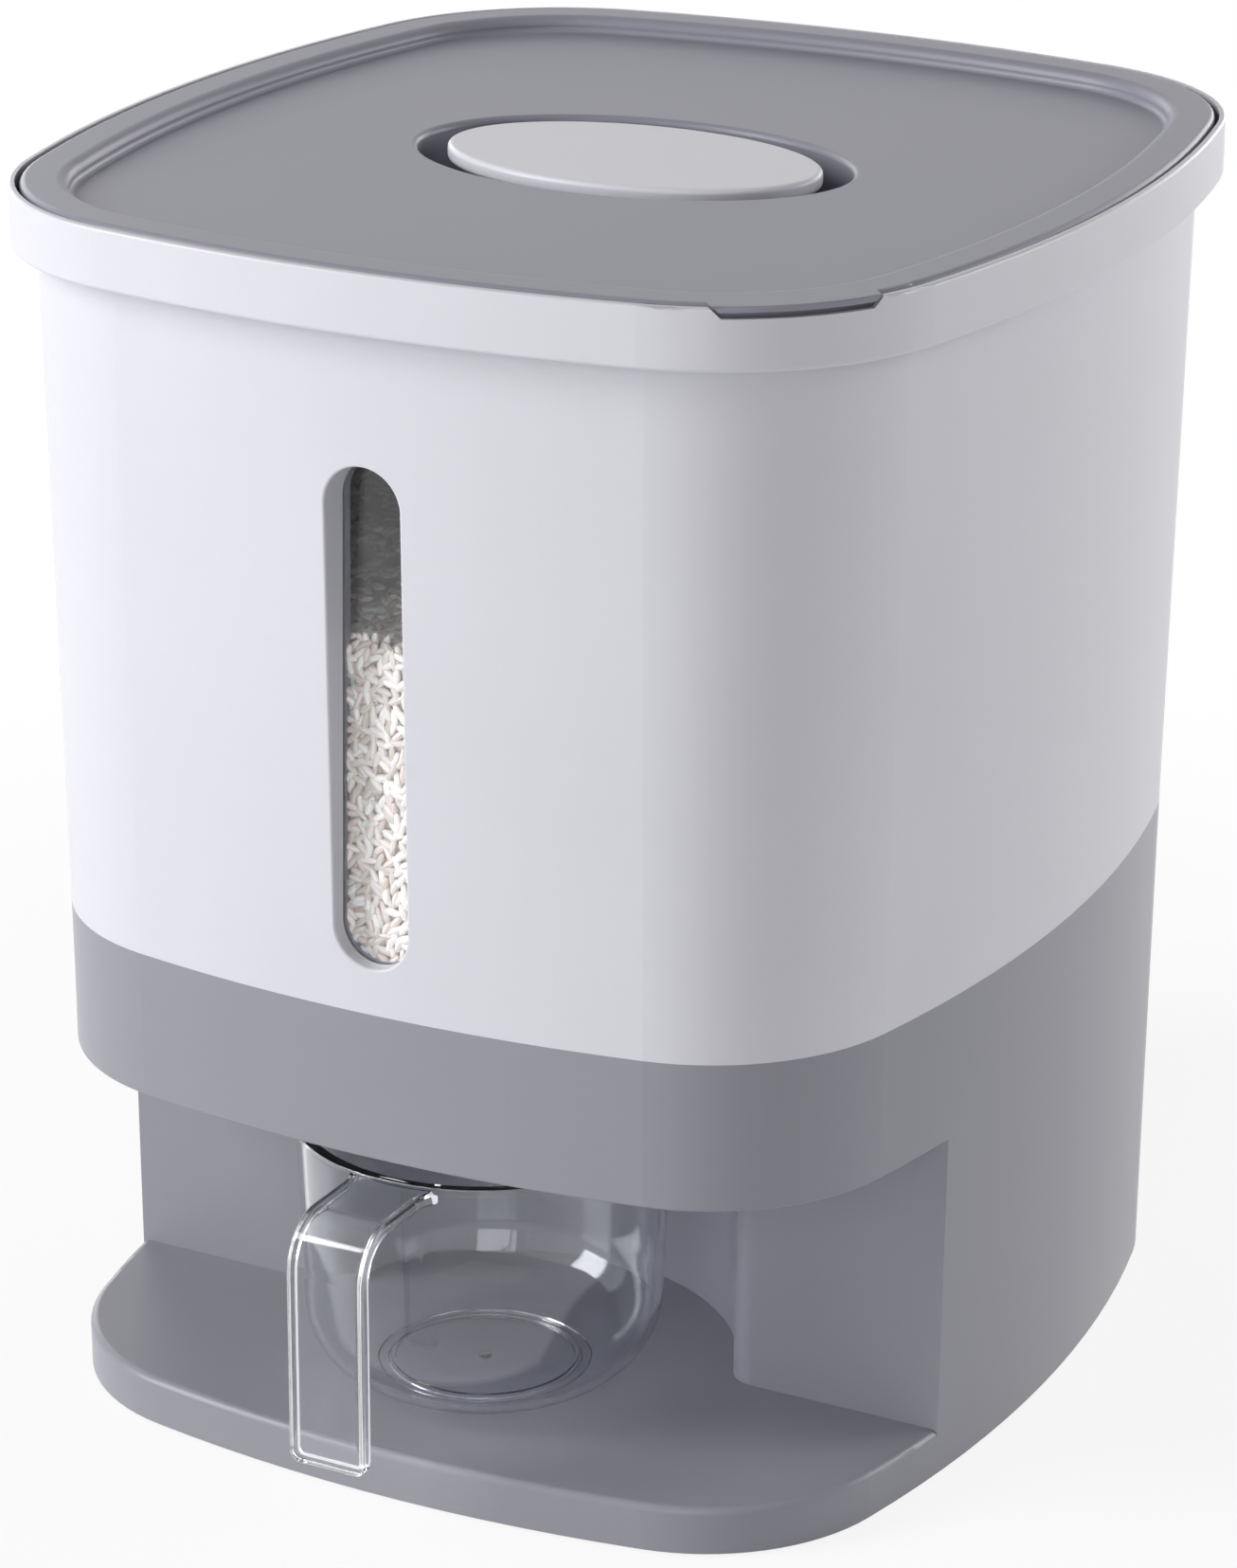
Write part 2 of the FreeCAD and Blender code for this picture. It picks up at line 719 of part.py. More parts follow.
def make_hopper_funnel():
    """Hopper: sloped sheet cut to the bucket's inside, with a flanged spout on the outlet's seal."""
    top = window_bottom + foot_half_depth
    inside = drafted_block(joint_growth - bucket_wall - hopper_clearance, hopper_bottom - past,
                           joint_growth - bucket_wall - hopper_clearance, joint_height)
    above = drafted_block(joint_growth - bucket_wall - hopper_clearance, joint_height,
                          bucket_growth(top) - bucket_wall - hopper_clearance, top)
    inside = join(inside, [above])
    spout_top = hopper_bottom + hopper_spout_height
    outer = funnel(hopper_bottom, hopper_wall, top + past)
    inner = funnel(spout_top, 0, top + 2 * past)
    throat = box(-outlet_half_width, outlet_half_width, outlet_front_y, outlet_back_y,
                 hopper_bottom - past, spout_top + past)
    flange = box(-outlet_half_width - hopper_spout_flange, outlet_half_width + hopper_spout_flange,
                 outlet_front_y - hopper_spout_flange, outlet_back_y + hopper_spout_flange,
                 hopper_bottom, hopper_bottom + hopper_wall)
    sheet = join(outer, [flange]).cut(join(inner, [throat]))
    return sheet.common(inside)


def make_outlet_seal():
    """Soft ring between the hopper's spout and the gate guide."""
    ring = box(-outlet_half_width - outlet_seal_width, outlet_half_width + outlet_seal_width,
               outlet_front_y - outlet_seal_width, outlet_back_y + outlet_seal_width,
               guide_top, hopper_bottom)
    return ring.cut(box(-outlet_half_width, outlet_half_width, outlet_front_y, outlet_back_y,
                        guide_top - past, hopper_bottom + past))


def make_gate_guide():
    """Cover that keeps the gate on the deck, with the outlet, spring posts and screw tabs."""
    guide = box(-guide_half_width, guide_half_width, guide_front_y, guide_back_y, deck_top, guide_top)
    channel_top = gate_top + gate_gap
    channel = box(-guide_channel_half, guide_channel_half, guide_front_y + guide_end_wall,
                  guide_back_y + past, deck_top - past, channel_top)
    bays = []
    ribs = []
    rib_back = gate_back_y - gate_ear_length - gate_travel - gate_open_gap
    for side in (-1, 1):
        low, high = sorted((side * guide_rib_outer, side * guide_channel_half))
        bays.append(box(low, high, guide_front_y + guide_end_wall, guide_back_y + past,
                        deck_top - past, spring_bay_top))
        low, high = sorted((side * guide_rib_outer, side * (guide_rib_outer - guide_rib_width)))
        ribs.append(box(low, high, guide_front_y + sink, rib_back, deck_top, channel_top + sink))
        ribs.append(cylinder(spring_post_radius, side * spring_x, spring_front_y - spring_post_radius,
                             deck_top, guide_top - sink))
    outlet = box(-outlet_half_width, outlet_half_width, outlet_front_y, outlet_back_y,
                 deck_top - past, guide_top + past)
    tabs = []
    holes = []
    for x, y in guide_screw_places():
        ends = (guide_half_width - sink, guide_half_width + guide_tab_length)
        low, high = sorted(math.copysign(end, x) for end in ends)
        half = guide_tab_length / 2
        tabs.append(box(low, high, y - half, y + half, deck_top, deck_top + guide_tab_thickness))
        holes.append(cylinder(small_screw_shank + screw_hole_play, x, y, deck_top - past,
                              deck_top + guide_tab_thickness + past))
    return join(guide.cut([channel, outlet] + bays), ribs + tabs).cut(holes)


def make_gate_guide_screws():
    """Four screws that hold the gate guide to the deck."""
    screws = []
    for x, y in guide_screw_places():
        length = guide_tab_thickness + guide_screw_bite
        piece = screw(x, y, 0, small_screw_head, small_screw_head_height, small_screw_shank, length)
        piece.rotate(V(x, y, 0), V(1, 0, 0), 180)
        piece.translate(V(0, 0, deck_top + guide_tab_thickness))
        screws.append(piece)
    return Part.makeCompound(screws)


def make_gate_plate():
    """Sliding gate with two ears for the springs, drawn open behind the outlet."""
    plate = box(-gate_half_width, gate_half_width, gate_front_y, gate_back_y, gate_bottom, gate_top)
    ear_half = guide_channel_half - gate_gap
    ears = box(-ear_half, ear_half, gate_back_y - gate_ear_length, gate_back_y, gate_bottom, gate_top)
    gate = join(plate, [ears])
    holes = []
    for side in (-1, 1):
        x = side * pusher_screw_spacing / 2
        y = (pusher_front_y + pusher_back_y) / 2
        holes.append(cylinder(pusher_screw_shank + screw_hole_play, x, y,
                              gate_bottom - past, gate_top + past))
        holes.append(Part.makeCone(pusher_screw_shank, pusher_screw_head, pusher_screw_head_height,
                                   V(x, y, gate_top - pusher_screw_head_height)))
    return gate.cut(holes)


def make_gate_pusher():
    """Finger under the gate, reaching through the deck's slot behind the cup's lip."""
    pusher = box(-pusher_half_width, pusher_half_width, pusher_front_y, pusher_back_y,
                 pusher_bottom, gate_bottom)
    pusher = pusher.makeFillet(spring_post_radius, level_edges(pusher, pusher_bottom))
    y = (pusher_front_y + pusher_back_y) / 2
    depth = pusher_screw_bite + sink
    holes = [
        cylinder(pusher_screw_shank + pilot_play, side * pusher_screw_spacing / 2, y,
                 gate_bottom - depth, gate_bottom + past)
        for side in (-1, 1)
    ]
    return pusher.cut(holes)


def make_gate_pusher_screws():
    """Two countersunk screws that hold the pusher under the gate."""
    screws = []
    y = (pusher_front_y + pusher_back_y) / 2
    for side in (-1, 1):
        x = side * pusher_screw_spacing / 2
        low = gate_bottom - pusher_screw_bite
        shank = cylinder(pusher_screw_shank, x, y, low, gate_top - sink)
        head = Part.makeCone(pusher_screw_shank, pusher_screw_head, pusher_screw_head_height,
                             V(x, y, gate_top - pusher_screw_head_height))
        screws.append(join(shank, [head]))
    return Part.makeCompound(screws)


def make_gate_springs():
    """Two extension springs that pull the gate forward, drawn stretched."""
    springs = []
    length = spring_back_y - spring_front_y
    pitch = length / spring_turns
    for side in (-1, 1):
        helix = Part.makeHelix(pitch, length, spring_radius)
        along = V(0, 2 * math.pi * spring_radius, pitch)
        circle = Part.Wire(Part.makeCircle(spring_wire_radius, V(spring_radius, 0, 0), along))
        spring = Part.Wire(helix).makePipeShell([circle], True, True)
        spring.rotate(V(0, 0, 0), V(1, 0, 0), -90)
        spring.translate(V(side * spring_x, spring_front_y, spring_z))
        springs.append(spring)
    return Part.makeCompound(springs)


def tab_wedge(gap, low, high):
    """Wedge over the rim's front right corner, with sloped ends, that shapes notch and tab."""
    foot = tab_half_length - tab_slope_length - gap
    floor = overall_height - tab_thickness - tab_gap
    slope = tab_slope_length / (overall_height - floor)
    near = corner_radius / 2
    reach = corner_radius + rim_growth + past - near

    def half_at(height):
        return foot + slope * (height - floor)

    points = [
        V(near, -half_at(low), low), V(near, half_at(low), low),
        V(near, half_at(high), high), V(near, -half_at(high), high),
    ]
    wedge = polygon_block(points, V(reach, 0, 0))
    keep = cylinder(corner_radius + lid_growth - lid_skirt_wall, 0, 0, low - past, high + past)
    wedge = wedge.cut(keep)
    wedge.rotate(V(0, 0, 0), V(0, 0, 1), tab_direction)
    wedge.translate(V(corner_x, -corner_y, 0))
    return wedge


def make_lid_top():
    """Lid: raised ring, sunk panel with an oval well, outer skirt, plug with a seal groove, finger tab."""
    ring = block(lid_growth, lid_skirt_bottom, overall_height)
    ring = ring.makeFillet(lid_edge_round, level_edges(ring, overall_height))
    panel_cut = block(lid_panel_growth, lid_panel_top, overall_height + past)
    ring = ring.cut(panel_cut)
    ring = ring.makeFillet(lid_inner_round, outline_edges(ring, lid_panel_growth, overall_height))
    skirt_hollow = block(lid_growth - lid_skirt_wall, lid_skirt_bottom - past, overall_height - lid_skin)
    plug_growth = bucket_growth(ledge_top) - bucket_wall - plug_play
    plug = block(plug_growth, plug_bottom, overall_height - lid_skin)
    plug_inside_growth = plug_growth - plug_groove_depth - lid_wall
    plug_inside = block(plug_inside_growth, plug_bottom - past, lid_panel_top - lid_skin)
    groove_low = plug_bottom + plug_groove_low
    groove_high = groove_low + lid_seal_height
    groove = block(plug_growth + past, groove_low, groove_high)
    groove = groove.cut(block(plug_growth - plug_groove_depth, groove_low - past, groove_high + past))
    lid = join(ring.cut(skirt_hollow.cut(plug)), [plug.cut([groove, panel_cut])]).cut(plug_inside)
    half_length = handle_plate_half_length + well_margin
    half_width = handle_plate_half_width + well_margin
    tub = oval_block(half_length + lid_wall, half_width + lid_wall, well_underside, lid_panel_top - sink)
    lid = join(lid, [tub])
    lid = lid.cut(oval_block(half_length, half_width, well_floor, lid_panel_top + past))
    well_edge = [edge for edge in level_edges(lid, lid_panel_top) if edge.BoundBox.XMax < half_length + sink]
    lid = lid.makeFillet(well_edge_round, well_edge)
    tab = block(rim_growth - tab_setback, overall_height - tab_thickness, overall_height)
    tab = tab.makeFillet(tab_edge_round, level_edges(tab, overall_height))
    tab = tab.common(tab_wedge(tab_end_gap, overall_height - tab_thickness, overall_height))
    lid = join(lid, [tab])
    return lid.cut(handle_screw_holes(screw_hole_play, underplate_bottom - past, well_floor + past))


def handle_screw_places():
    """Places of the two screws of the lid's handle."""
    return [(side * lid_screw_spacing / 2, 0) for side in (-1, 1)]


def handle_screw_holes(play, low, high):
    """Cutters for the two screws of the lid's handle."""
    return [cylinder(small_screw_shank + play, x, y, low, high) for x, y in handle_screw_places()]


def make_lid_seal():
    """Soft ring in the plug's groove."""
    plug_growth = bucket_growth(ledge_top) - bucket_wall - plug_play
    low = plug_bottom + plug_groove_low
    outer = block(bucket_growth(low) - bucket_wall - lid_seal_gap, low, low + lid_seal_height)
    return outer.cut(block(plug_growth - plug_groove_depth, low - past, low + lid_seal_height + past))


def make_lid_underplate():
    """Flat plate inside the plug that closes the lid from below."""
    plug_growth = bucket_growth(ledge_top) - bucket_wall - plug_play
    growth = plug_growth - plug_groove_depth - lid_wall - underplate_clearance
    plate = block(growth, underplate_bottom, well_underside)
    return plate.cut(handle_screw_holes(screw_hole_play, underplate_bottom - past, well_underside + past))


def make_lid_handle():
    """Oval grip plate on a stem, standing in the lid's well."""
    top = lid_panel_top + handle_plate_proud
    plate_bottom = top - handle_plate_thickness
    plate = oval_block(handle_plate_half_length, handle_plate_half_width, plate_bottom, top)
    plate = plate.makeFillet(handle_plate_round, level_edges(plate, top) + level_edges(plate, plate_bottom))
    stem = oval_block(handle_stem_half_length, handle_stem_half_width, well_floor, plate_bottom + sink)
    depth = well_floor + small_screw_bite + sink
    return join(plate, [stem]).cut(handle_screw_holes(pilot_play, well_floor - past, depth))


def make_lid_handle_screws():
    """Two screws from under the lid into the handle's stem."""
    length = well_floor - underplate_bottom + small_screw_bite
    return Part.makeCompound([
        screw(x, y, underplate_bottom, small_screw_head, small_screw_head_height, small_screw_shank, length)
        for x, y in handle_screw_places()
    ])


def cup_profile():
    """Half section of the cup's bowl, as a closed wire at X = radius, Z = height."""
    knee_z = cup_bottom + cup_knee_height
    outer_corner = cup_corner_radius
    centre_r = cup_knee_radius - outer_corner
    floor_z = cup_bottom + cup_foot_height
    foot_z = knee_z - math.sqrt(outer_corner ** 2 - (cup_foot_radius - centre_r) ** 2)
    low = math.atan2(foot_z - knee_z, cup_foot_radius - centre_r)
    inner_corner = outer_corner - cup_wall
    inner_floor = knee_z - inner_corner
    ring_low = cup_floor_ring_radius - cup_floor_ring_width / 2
    ring_high = cup_floor_ring_radius + cup_floor_ring_width / 2
    lip_low = cup_top - cup_lip_height

    def point(radius, height):
        return V(radius, 0, height)

    def turn(radius, angle):
        return V(centre_r + radius * math.cos(angle), 0, knee_z + radius * math.sin(angle))

    edges = []

    def line_to(start, *stops):
        for stop in stops:
            edges.append(Part.LineSegment(start, stop).toShape())
            start = stop
        return start

    foot_inner = cup_foot_radius - cup_foot_width
    here = line_to(point(0, floor_z), point(foot_inner, floor_z), point(foot_inner, cup_bottom),
                   point(cup_foot_radius, cup_bottom), turn(outer_corner, low))
    edges.append(Part.Arc(here, turn(outer_corner, low / 2), turn(outer_corner, 0)).toShape())
    here = line_to(turn(outer_corner, 0), point(cup_mouth_radius, lip_low),
                   point(cup_mouth_radius + cup_lip, lip_low), point(cup_mouth_radius + cup_lip, cup_top),
                   point(cup_mouth_radius - cup_wall, cup_top), turn(inner_corner, 0))
    edges.append(Part.Arc(here, turn(inner_corner, -math.pi / 4), turn(inner_corner, -math.pi / 2)).toShape())
    line_to(turn(inner_corner, -math.pi / 2), point(0, inner_floor), point(0, floor_z))
    ring_top = inner_floor + cup_floor_ring_height
    ring = [point(ring_low, inner_floor - sink), point(ring_high, inner_floor - sink),
            point(ring_high, ring_top), point(ring_low, ring_top)]
    return edges, ring, inner_floor


def make_measuring_cup():
    """Cup: turned bowl with lip, foot ring and floor ring, and a channel handle at the front."""
    edges, ring, inner_floor = cup_profile()
    axis = V(0, 0, 1)
    bowl = Part.Face(Part.Wire(edges)).revolve(V(0, 0, 0), axis, 360)
    rib = Part.Face(Part.makePolygon(ring + [ring[0]])).revolve(V(0, 0, 0), axis, 360)
    nub = cylinder(cup_nub_radius, 0, 0, inner_floor - sink, inner_floor + cup_nub_height)
    bowl = join(bowl, [rib, nub])
    bowl.translate(V(0, cup_y, 0))
    return join(bowl, [make_cup_handle()])


def handle_side(depth_low, depth_high, start_y, end_z):
    """Side view of the handle between two depths under its outer face, as a face at X = 0."""
    top = cup_top - handle_top_drop
    front = cup_y - cup_mouth_radius - handle_reach
    bend_y = front + handle_bend_radius
    bend_z = top - handle_bend_radius
    outer = handle_bend_radius - depth_low
    inner = handle_bend_radius - depth_high
    share = math.sqrt(0.5)
    edges = [
        Part.LineSegment(V(0, start_y, top - depth_low), V(0, bend_y, top - depth_low)).toShape(),
        Part.Arc(V(0, bend_y, bend_z + outer), V(0, bend_y - outer * share, bend_z + outer * share),
                 V(0, bend_y - outer, bend_z)).toShape(),
        Part.LineSegment(V(0, bend_y - outer, bend_z), V(0, bend_y - outer, end_z)).toShape(),
        Part.LineSegment(V(0, bend_y - outer, end_z), V(0, bend_y - inner, end_z)).toShape(),
        Part.LineSegment(V(0, bend_y - inner, end_z), V(0, bend_y - inner, bend_z)).toShape(),
        Part.Arc(V(0, bend_y - inner, bend_z), V(0, bend_y - inner * share, bend_z + inner * share),
                 V(0, bend_y, bend_z + inner)).toShape(),
        Part.LineSegment(V(0, bend_y, bend_z + inner), V(0, start_y, top - depth_high)).toShape(),
        Part.LineSegment(V(0, start_y, top - depth_high), V(0, start_y, top - depth_low)).toShape(),
    ]
    return Part.Face(Part.Wire(edges))


def make_cup_handle():
    """Channel handle: a web bent over one radius, with flanges along its sides and lower end."""
    start_y = cup_y - cup_mouth_radius + cup_wall / 2
    end_z = handle_end_z
    web = handle_side(0, handle_web, start_y, end_z).extrude(V(2 * handle_half_width, 0, 0))
    web.translate(V(-handle_half_width, 0, 0))
    flange = handle_side(0, handle_flange_depth, start_y, end_z)
    left = flange.extrude(V(handle_flange_width, 0, 0))
    right = left.copy()
    left.translate(V(-handle_half_width, 0, 0))
    right.translate(V(handle_half_width - handle_flange_width, 0, 0))
    front = cup_y - cup_mouth_radius - handle_reach
    end = box(-handle_half_width, handle_half_width, front, front + handle_flange_depth,
              end_z, end_z + handle_flange_width)
    handle = join(web, [left, right, end])
    ends = [
        edge for edge in handle.Edges
        if edge.BoundBox.ZMax < end_z + touching and edge.BoundBox.YLength > handle_flange_depth - touching
    ]
    handle = handle.makeFillet(handle_end_round, ends)
    top = cup_top - handle_top_drop
    flare_y = start_y - handle_flare_length
    wide = handle_half_width + handle_flare
    low = top - handle_flange_depth
    flare = polygon_block([
        V(-wide, start_y, low), V(wide, start_y, low),
        V(handle_half_width, flare_y, low), V(-handle_half_width, flare_y, low),
    ], V(0, 0, handle_flange_depth))
    inside = cylinder(cup_mouth_radius - cup_wall / 2, 0, cup_y, cup_bottom, cup_top + past)
    return join(handle, [flare]).cut(inside)


makers = {
    "base_shell": make_base_shell,
    "base_bottom_cover": make_base_bottom_cover,
    "bottom_cover_screws": make_bottom_cover_screws,
    "rubber_feet": make_rubber_feet,
    "bucket_shell": make_bucket_shell,
    "bucket_fixing_screws": make_bucket_fixing_screws,
    "hopper_funnel": make_hopper_funnel,
    "outlet_seal": make_outlet_seal,
    "window_pane": make_window_pane,
    "window_gasket": make_window_gasket,
    "window_retainer": make_window_retainer,
    "gate_guide": make_gate_guide,
    "gate_guide_screws": make_gate_guide_screws,
    "gate_springs": make_gate_springs,
    "gate_plate": make_gate_plate,
    "gate_pusher": make_gate_pusher,
    "gate_pusher_screws": make_gate_pusher_screws,
    "lid_top": make_lid_top,
    "lid_seal": make_lid_seal,
    "lid_underplate": make_lid_underplate,
    "lid_handle": make_lid_handle,
    "lid_handle_screws": make_lid_handle_screws,
    "measuring_cup": make_measuring_cup,
}

os.makedirs("parts", exist_ok=True)
for name, maker in makers.items():
    shape = maker()
    shape.exportStep("parts/" + name + ".step")
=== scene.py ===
"""Looks of a rice dispenser.

A lidded bucket with a slot window stands on a base, and a clear cup with a channel handle sits in the bay.
Lengths are in metres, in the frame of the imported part: +X is right, -Y is the front and +Z is up.
"""

import json
import logging
import math
import random
from collections.abc import Iterable, Sequence
from dataclasses import dataclass, field
from enum import Enum
from functools import cached_property

import bmesh
import bpy
from bmesh.types import BMesh, BMEdge, BMFace, BMVert
from mathutils import Matrix, Vector, noise


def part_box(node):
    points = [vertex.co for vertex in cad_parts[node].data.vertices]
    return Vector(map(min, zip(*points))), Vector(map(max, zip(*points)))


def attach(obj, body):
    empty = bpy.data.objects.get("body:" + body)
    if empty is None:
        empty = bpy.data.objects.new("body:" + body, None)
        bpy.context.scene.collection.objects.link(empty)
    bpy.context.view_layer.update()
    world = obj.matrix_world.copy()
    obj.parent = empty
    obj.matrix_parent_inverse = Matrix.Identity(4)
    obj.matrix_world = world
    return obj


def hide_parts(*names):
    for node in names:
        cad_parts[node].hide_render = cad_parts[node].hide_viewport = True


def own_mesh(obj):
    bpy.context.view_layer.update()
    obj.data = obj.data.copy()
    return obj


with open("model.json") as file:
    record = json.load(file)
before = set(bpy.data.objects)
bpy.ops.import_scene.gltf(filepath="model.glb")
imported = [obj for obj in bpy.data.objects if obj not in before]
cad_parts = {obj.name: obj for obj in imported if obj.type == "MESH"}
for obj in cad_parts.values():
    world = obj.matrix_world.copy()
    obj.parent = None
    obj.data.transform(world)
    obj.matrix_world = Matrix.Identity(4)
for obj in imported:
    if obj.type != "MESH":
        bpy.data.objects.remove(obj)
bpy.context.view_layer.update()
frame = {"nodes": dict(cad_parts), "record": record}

log = logging.getLogger("rice_dispenser")

MM = 0.001
TOUCHING = 0.01 * MM
WELDED = TOUCHING / 10
CUT_THROUGH = TOUCHING / 100
QUARTER_TURN = math.pi / 2
FULL_TURN = 2 * math.pi
X_AXIS = Vector((1, 0, 0))
Y_AXIS = Vector((0, 1, 0))
Z_AXIS = Vector((0, 0, 1))

Colour = tuple[float, float, float]
OpaqueColour = tuple[float, float, float, float]
PURE_WHITE = (1.0, 1.0, 1.0, 1.0)


class Slot(Enum):
    """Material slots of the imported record."""

    WHITE = "white_plastic"
    GREY = "grey_plastic"
    LID = "lid_plastic"
    CLEAR = "clear_plastic"
    SEAL = "seal_silicone"
    FOOT = "foot_rubber"
    STEEL = "steel"
    SPRING = "spring_steel"


# ---------------------------------------------------------------- shader trees


class Value:
    """Number in a shader tree, whose Python operators add Math nodes."""

    def __init__(self, socket: bpy.types.NodeSocket) -> None:
        """Wraps an output socket."""
        self.socket = socket

    def _math(self, operation: str, first: "Value | float", second: "Value | float") -> "Value":
        """Adds one Math node.

        Args:
            operation: Name of the Math node's operation.
            first: Left operand.
            second: Right operand.

        Returns:
            The node's result.
        """
        tree = self.socket.id_data
        made = tree.nodes.new("ShaderNodeMath")
        made.operation = operation
        for slot, operand in zip(made.inputs, (first, second)):
            if isinstance(operand, Value):
                tree.links.new(operand.socket, slot)
            else:
                slot.default_value = operand
        return Value(made.outputs[0])

    def __add__(self, other: "Value | float") -> "Value":
        """Sum."""
        return self._math("ADD", self, other)

    __radd__ = __add__

    def __sub__(self, other: "Value | float") -> "Value":
        """Difference."""
        return self._math("SUBTRACT", self, other)

    def __rsub__(self, other: float) -> "Value":
        """Difference from a number."""
        return self._math("SUBTRACT", other, self)

    def __mul__(self, other: "Value | float") -> "Value":
        """Product."""
        return self._math("MULTIPLY", self, other)

    __rmul__ = __mul__

    def __pow__(self, other: float) -> "Value":
        """Power."""
        return self._math("POWER", self, other)

    def __gt__(self, other: float) -> "Value":
        """One where this is greater, otherwise nothing."""
        return self._math("GREATER_THAN", self, other)


class ShaderTree:
    """Node tree of a material or of the world while it is being built."""

    seen_threshold = 0.5

    def __init__(self, owner: bpy.types.Material | bpy.types.World) -> None:
        """Empties the owner's tree.

        Args:
            owner: Material or world that the tree belongs to.
        """
        owner.use_nodes = True
        self.tree = owner.node_tree
        self.tree.nodes.clear()

    def node(self, kind: str, settings: dict | None = None, sockets: dict | None = None) -> bpy.types.Node:
        """Adds a node.

        Args:
            kind: Type name of the node.
            settings: Properties, set before the sockets; a ramp's stops are under "stops".
            sockets: Value or link of each input socket, by name or number.

        Returns:
            The node.
        """
        made = self.tree.nodes.new(kind)
        for key, setting in (settings or {}).items():
            if key == "stops":
                self._set_stops(made.color_ramp, setting)
            else:
                setattr(made, key, setting)
        for key, given in (sockets or {}).items():
            if isinstance(given, (Value, bpy.types.NodeSocket)):
                self.link(given, made.inputs[key])
            else:
                made.inputs[key].default_value = given
        return made

    @staticmethod
    def _set_stops(ramp: bpy.types.ColorRamp, stops: Sequence[tuple[float, OpaqueColour]]) -> None:
        """Gives a ramp its stops.

        Args:
            ramp: Ramp of a node.
            stops: Position and colour of each stop.
        """
        while len(ramp.elements) < len(stops):
            ramp.elements.new(1.0)
        for element, (position, colour) in zip(ramp.elements, stops):
            element.position = position
            element.color = colour

    def link(self, source: Value | bpy.types.NodeSocket, target: bpy.types.NodeSocket) -> None:
        """Links a value or an output to an input."""
        self.tree.links.new(source.socket if isinstance(source, Value) else source, target)

    def seen(self) -> Value:
        """Share that is one for rays from the camera, off gloss and through glass, otherwise nothing.

        Returns:
            The share.
        """
        path = self.node("ShaderNodeLightPath").outputs
        kinds = ("Camera", "Glossy", "Transmission")
        direct, glossy, through = (Value(path[f"Is {kind} Ray"]) for kind in kinds)
        return direct + glossy + through > self.seen_threshold


class Surface(ShaderTree):
    """Material being built round one principled shader."""

    def __init__(self, name: str, **constants: float | OpaqueColour) -> None:
        """Starts the material.

        Args:
            name: Name of the material.
            constants: Values of the shader's own sockets, with underscores for spaces.
        """
        self.material = bpy.data.materials.new(name)
        super().__init__(self.material)
        sockets = {key.replace("_", " "): value for key, value in constants.items()}
        self.shader = self.node("ShaderNodeBsdfPrincipled", sockets=sockets)
        self.place = self.node("ShaderNodeTexCoord").outputs["Object"]
        self.output = self.node("ShaderNodeOutputMaterial", sockets={"Surface": self.shader.outputs[0]})

    def noise(self, size: float, detail: float = 2.0) -> Value:
        """Cloudy pattern between 0 and 1.

        Args:
            size: Width of its blots.
            detail: Number of finer layers.

        Returns:
            The pattern.
        """
        sockets = {"Vector": self.place, "Scale": 1 / size, "Detail": detail}
        return Value(self.node("ShaderNodeTexNoise", sockets=sockets).outputs["Fac"])

    def between(self, share: Value, low: OpaqueColour, high: OpaqueColour) -> bpy.types.NodeSocket:
        """Colour that goes from low to high with a share."""
        stops = [(0.0, low), (1.0, high)]
        return self.node("ShaderNodeValToRGB", {"stops": stops}, {"Fac": share}).outputs["Color"]

    def feed(self, socket: str, source: Value | bpy.types.NodeSocket) -> None:
        """Links a source to one of the shader's sockets."""
        self.link(source, self.shader.inputs[socket])

    def bump(self, height: Value, depth: float, strength: float) -> None:
        """Roughens the surface by a height pattern of a given depth."""
        sockets = {"Height": height, "Distance": depth, "Strength": strength}
        self.feed("Normal", self.node("ShaderNodeBump", sockets=sockets).outputs["Normal"])

    def cover(self, share: Value | bpy.types.NodeSocket, shader: bpy.types.Node) -> None:
        """Shows another shader in place of the principled one.

        Args:
            share: How much of the other one shows, from 0 to 1.
            shader: Node of the other shader.
        """
        sockets = {0: share, 1: self.shader.outputs[0], 2: shader.outputs[0]}
        mixed = self.node("ShaderNodeMixShader", sockets=sockets)
        self.link(mixed.outputs[0], self.output.inputs["Surface"])

    def let_light_through(self, tint: OpaqueColour) -> None:
        """Makes the material cast a clear tinted shadow."""
        ray = self.node("ShaderNodeLightPath").outputs["Is Shadow Ray"]
        self.cover(ray, self.node("ShaderNodeBsdfTransparent", sockets={"Color": tint}))


def shade(colour: Colour, factor: float) -> OpaqueColour:
    """Opaque colour, lighter or darker by a factor."""
    return (*(min(1.0, part * factor) for part in colour), 1.0)


# ---------------------------------------------------------------- finishes


@dataclass(frozen=True)
class MouldedPlastic:
    """Satin moulded plastic: fine spark-eroded grain, faint flow marks and uneven gloss."""

    name: str
    colour: Colour
    roughness: float
    gloss_spread: float = 0.06
    tone_spread: float = 0.03
    flow_size: float = 60 * MM
    flow_detail: float = 3.0
    flow_share: float = 0.8
    flow_middle: float = 0.5
    grain_size: float = 0.45 * MM
    grain_depth: float = 0.02 * MM
    grain_strength: float = 0.25
    specular: float = 0.3

    def material(self) -> bpy.types.Material:
        """Builds the material.

        Returns:
            The material.
        """
        surface = Surface(self.name, Specular_IOR_Level=self.specular)
        flow = surface.noise(self.flow_size, self.flow_detail)
        grain = surface.noise(self.grain_size)
        tone = flow * self.flow_share + grain * (1 - self.flow_share)
        low, high = shade(self.colour, 1 - self.tone_spread), shade(self.colour, 1 + self.tone_spread)
        surface.feed("Base Color", surface.between(tone, low, high))
        surface.feed("Roughness", self.roughness + (flow - self.flow_middle) * self.gloss_spread)
        surface.bump(grain, self.grain_depth, self.grain_strength)
        return surface.material


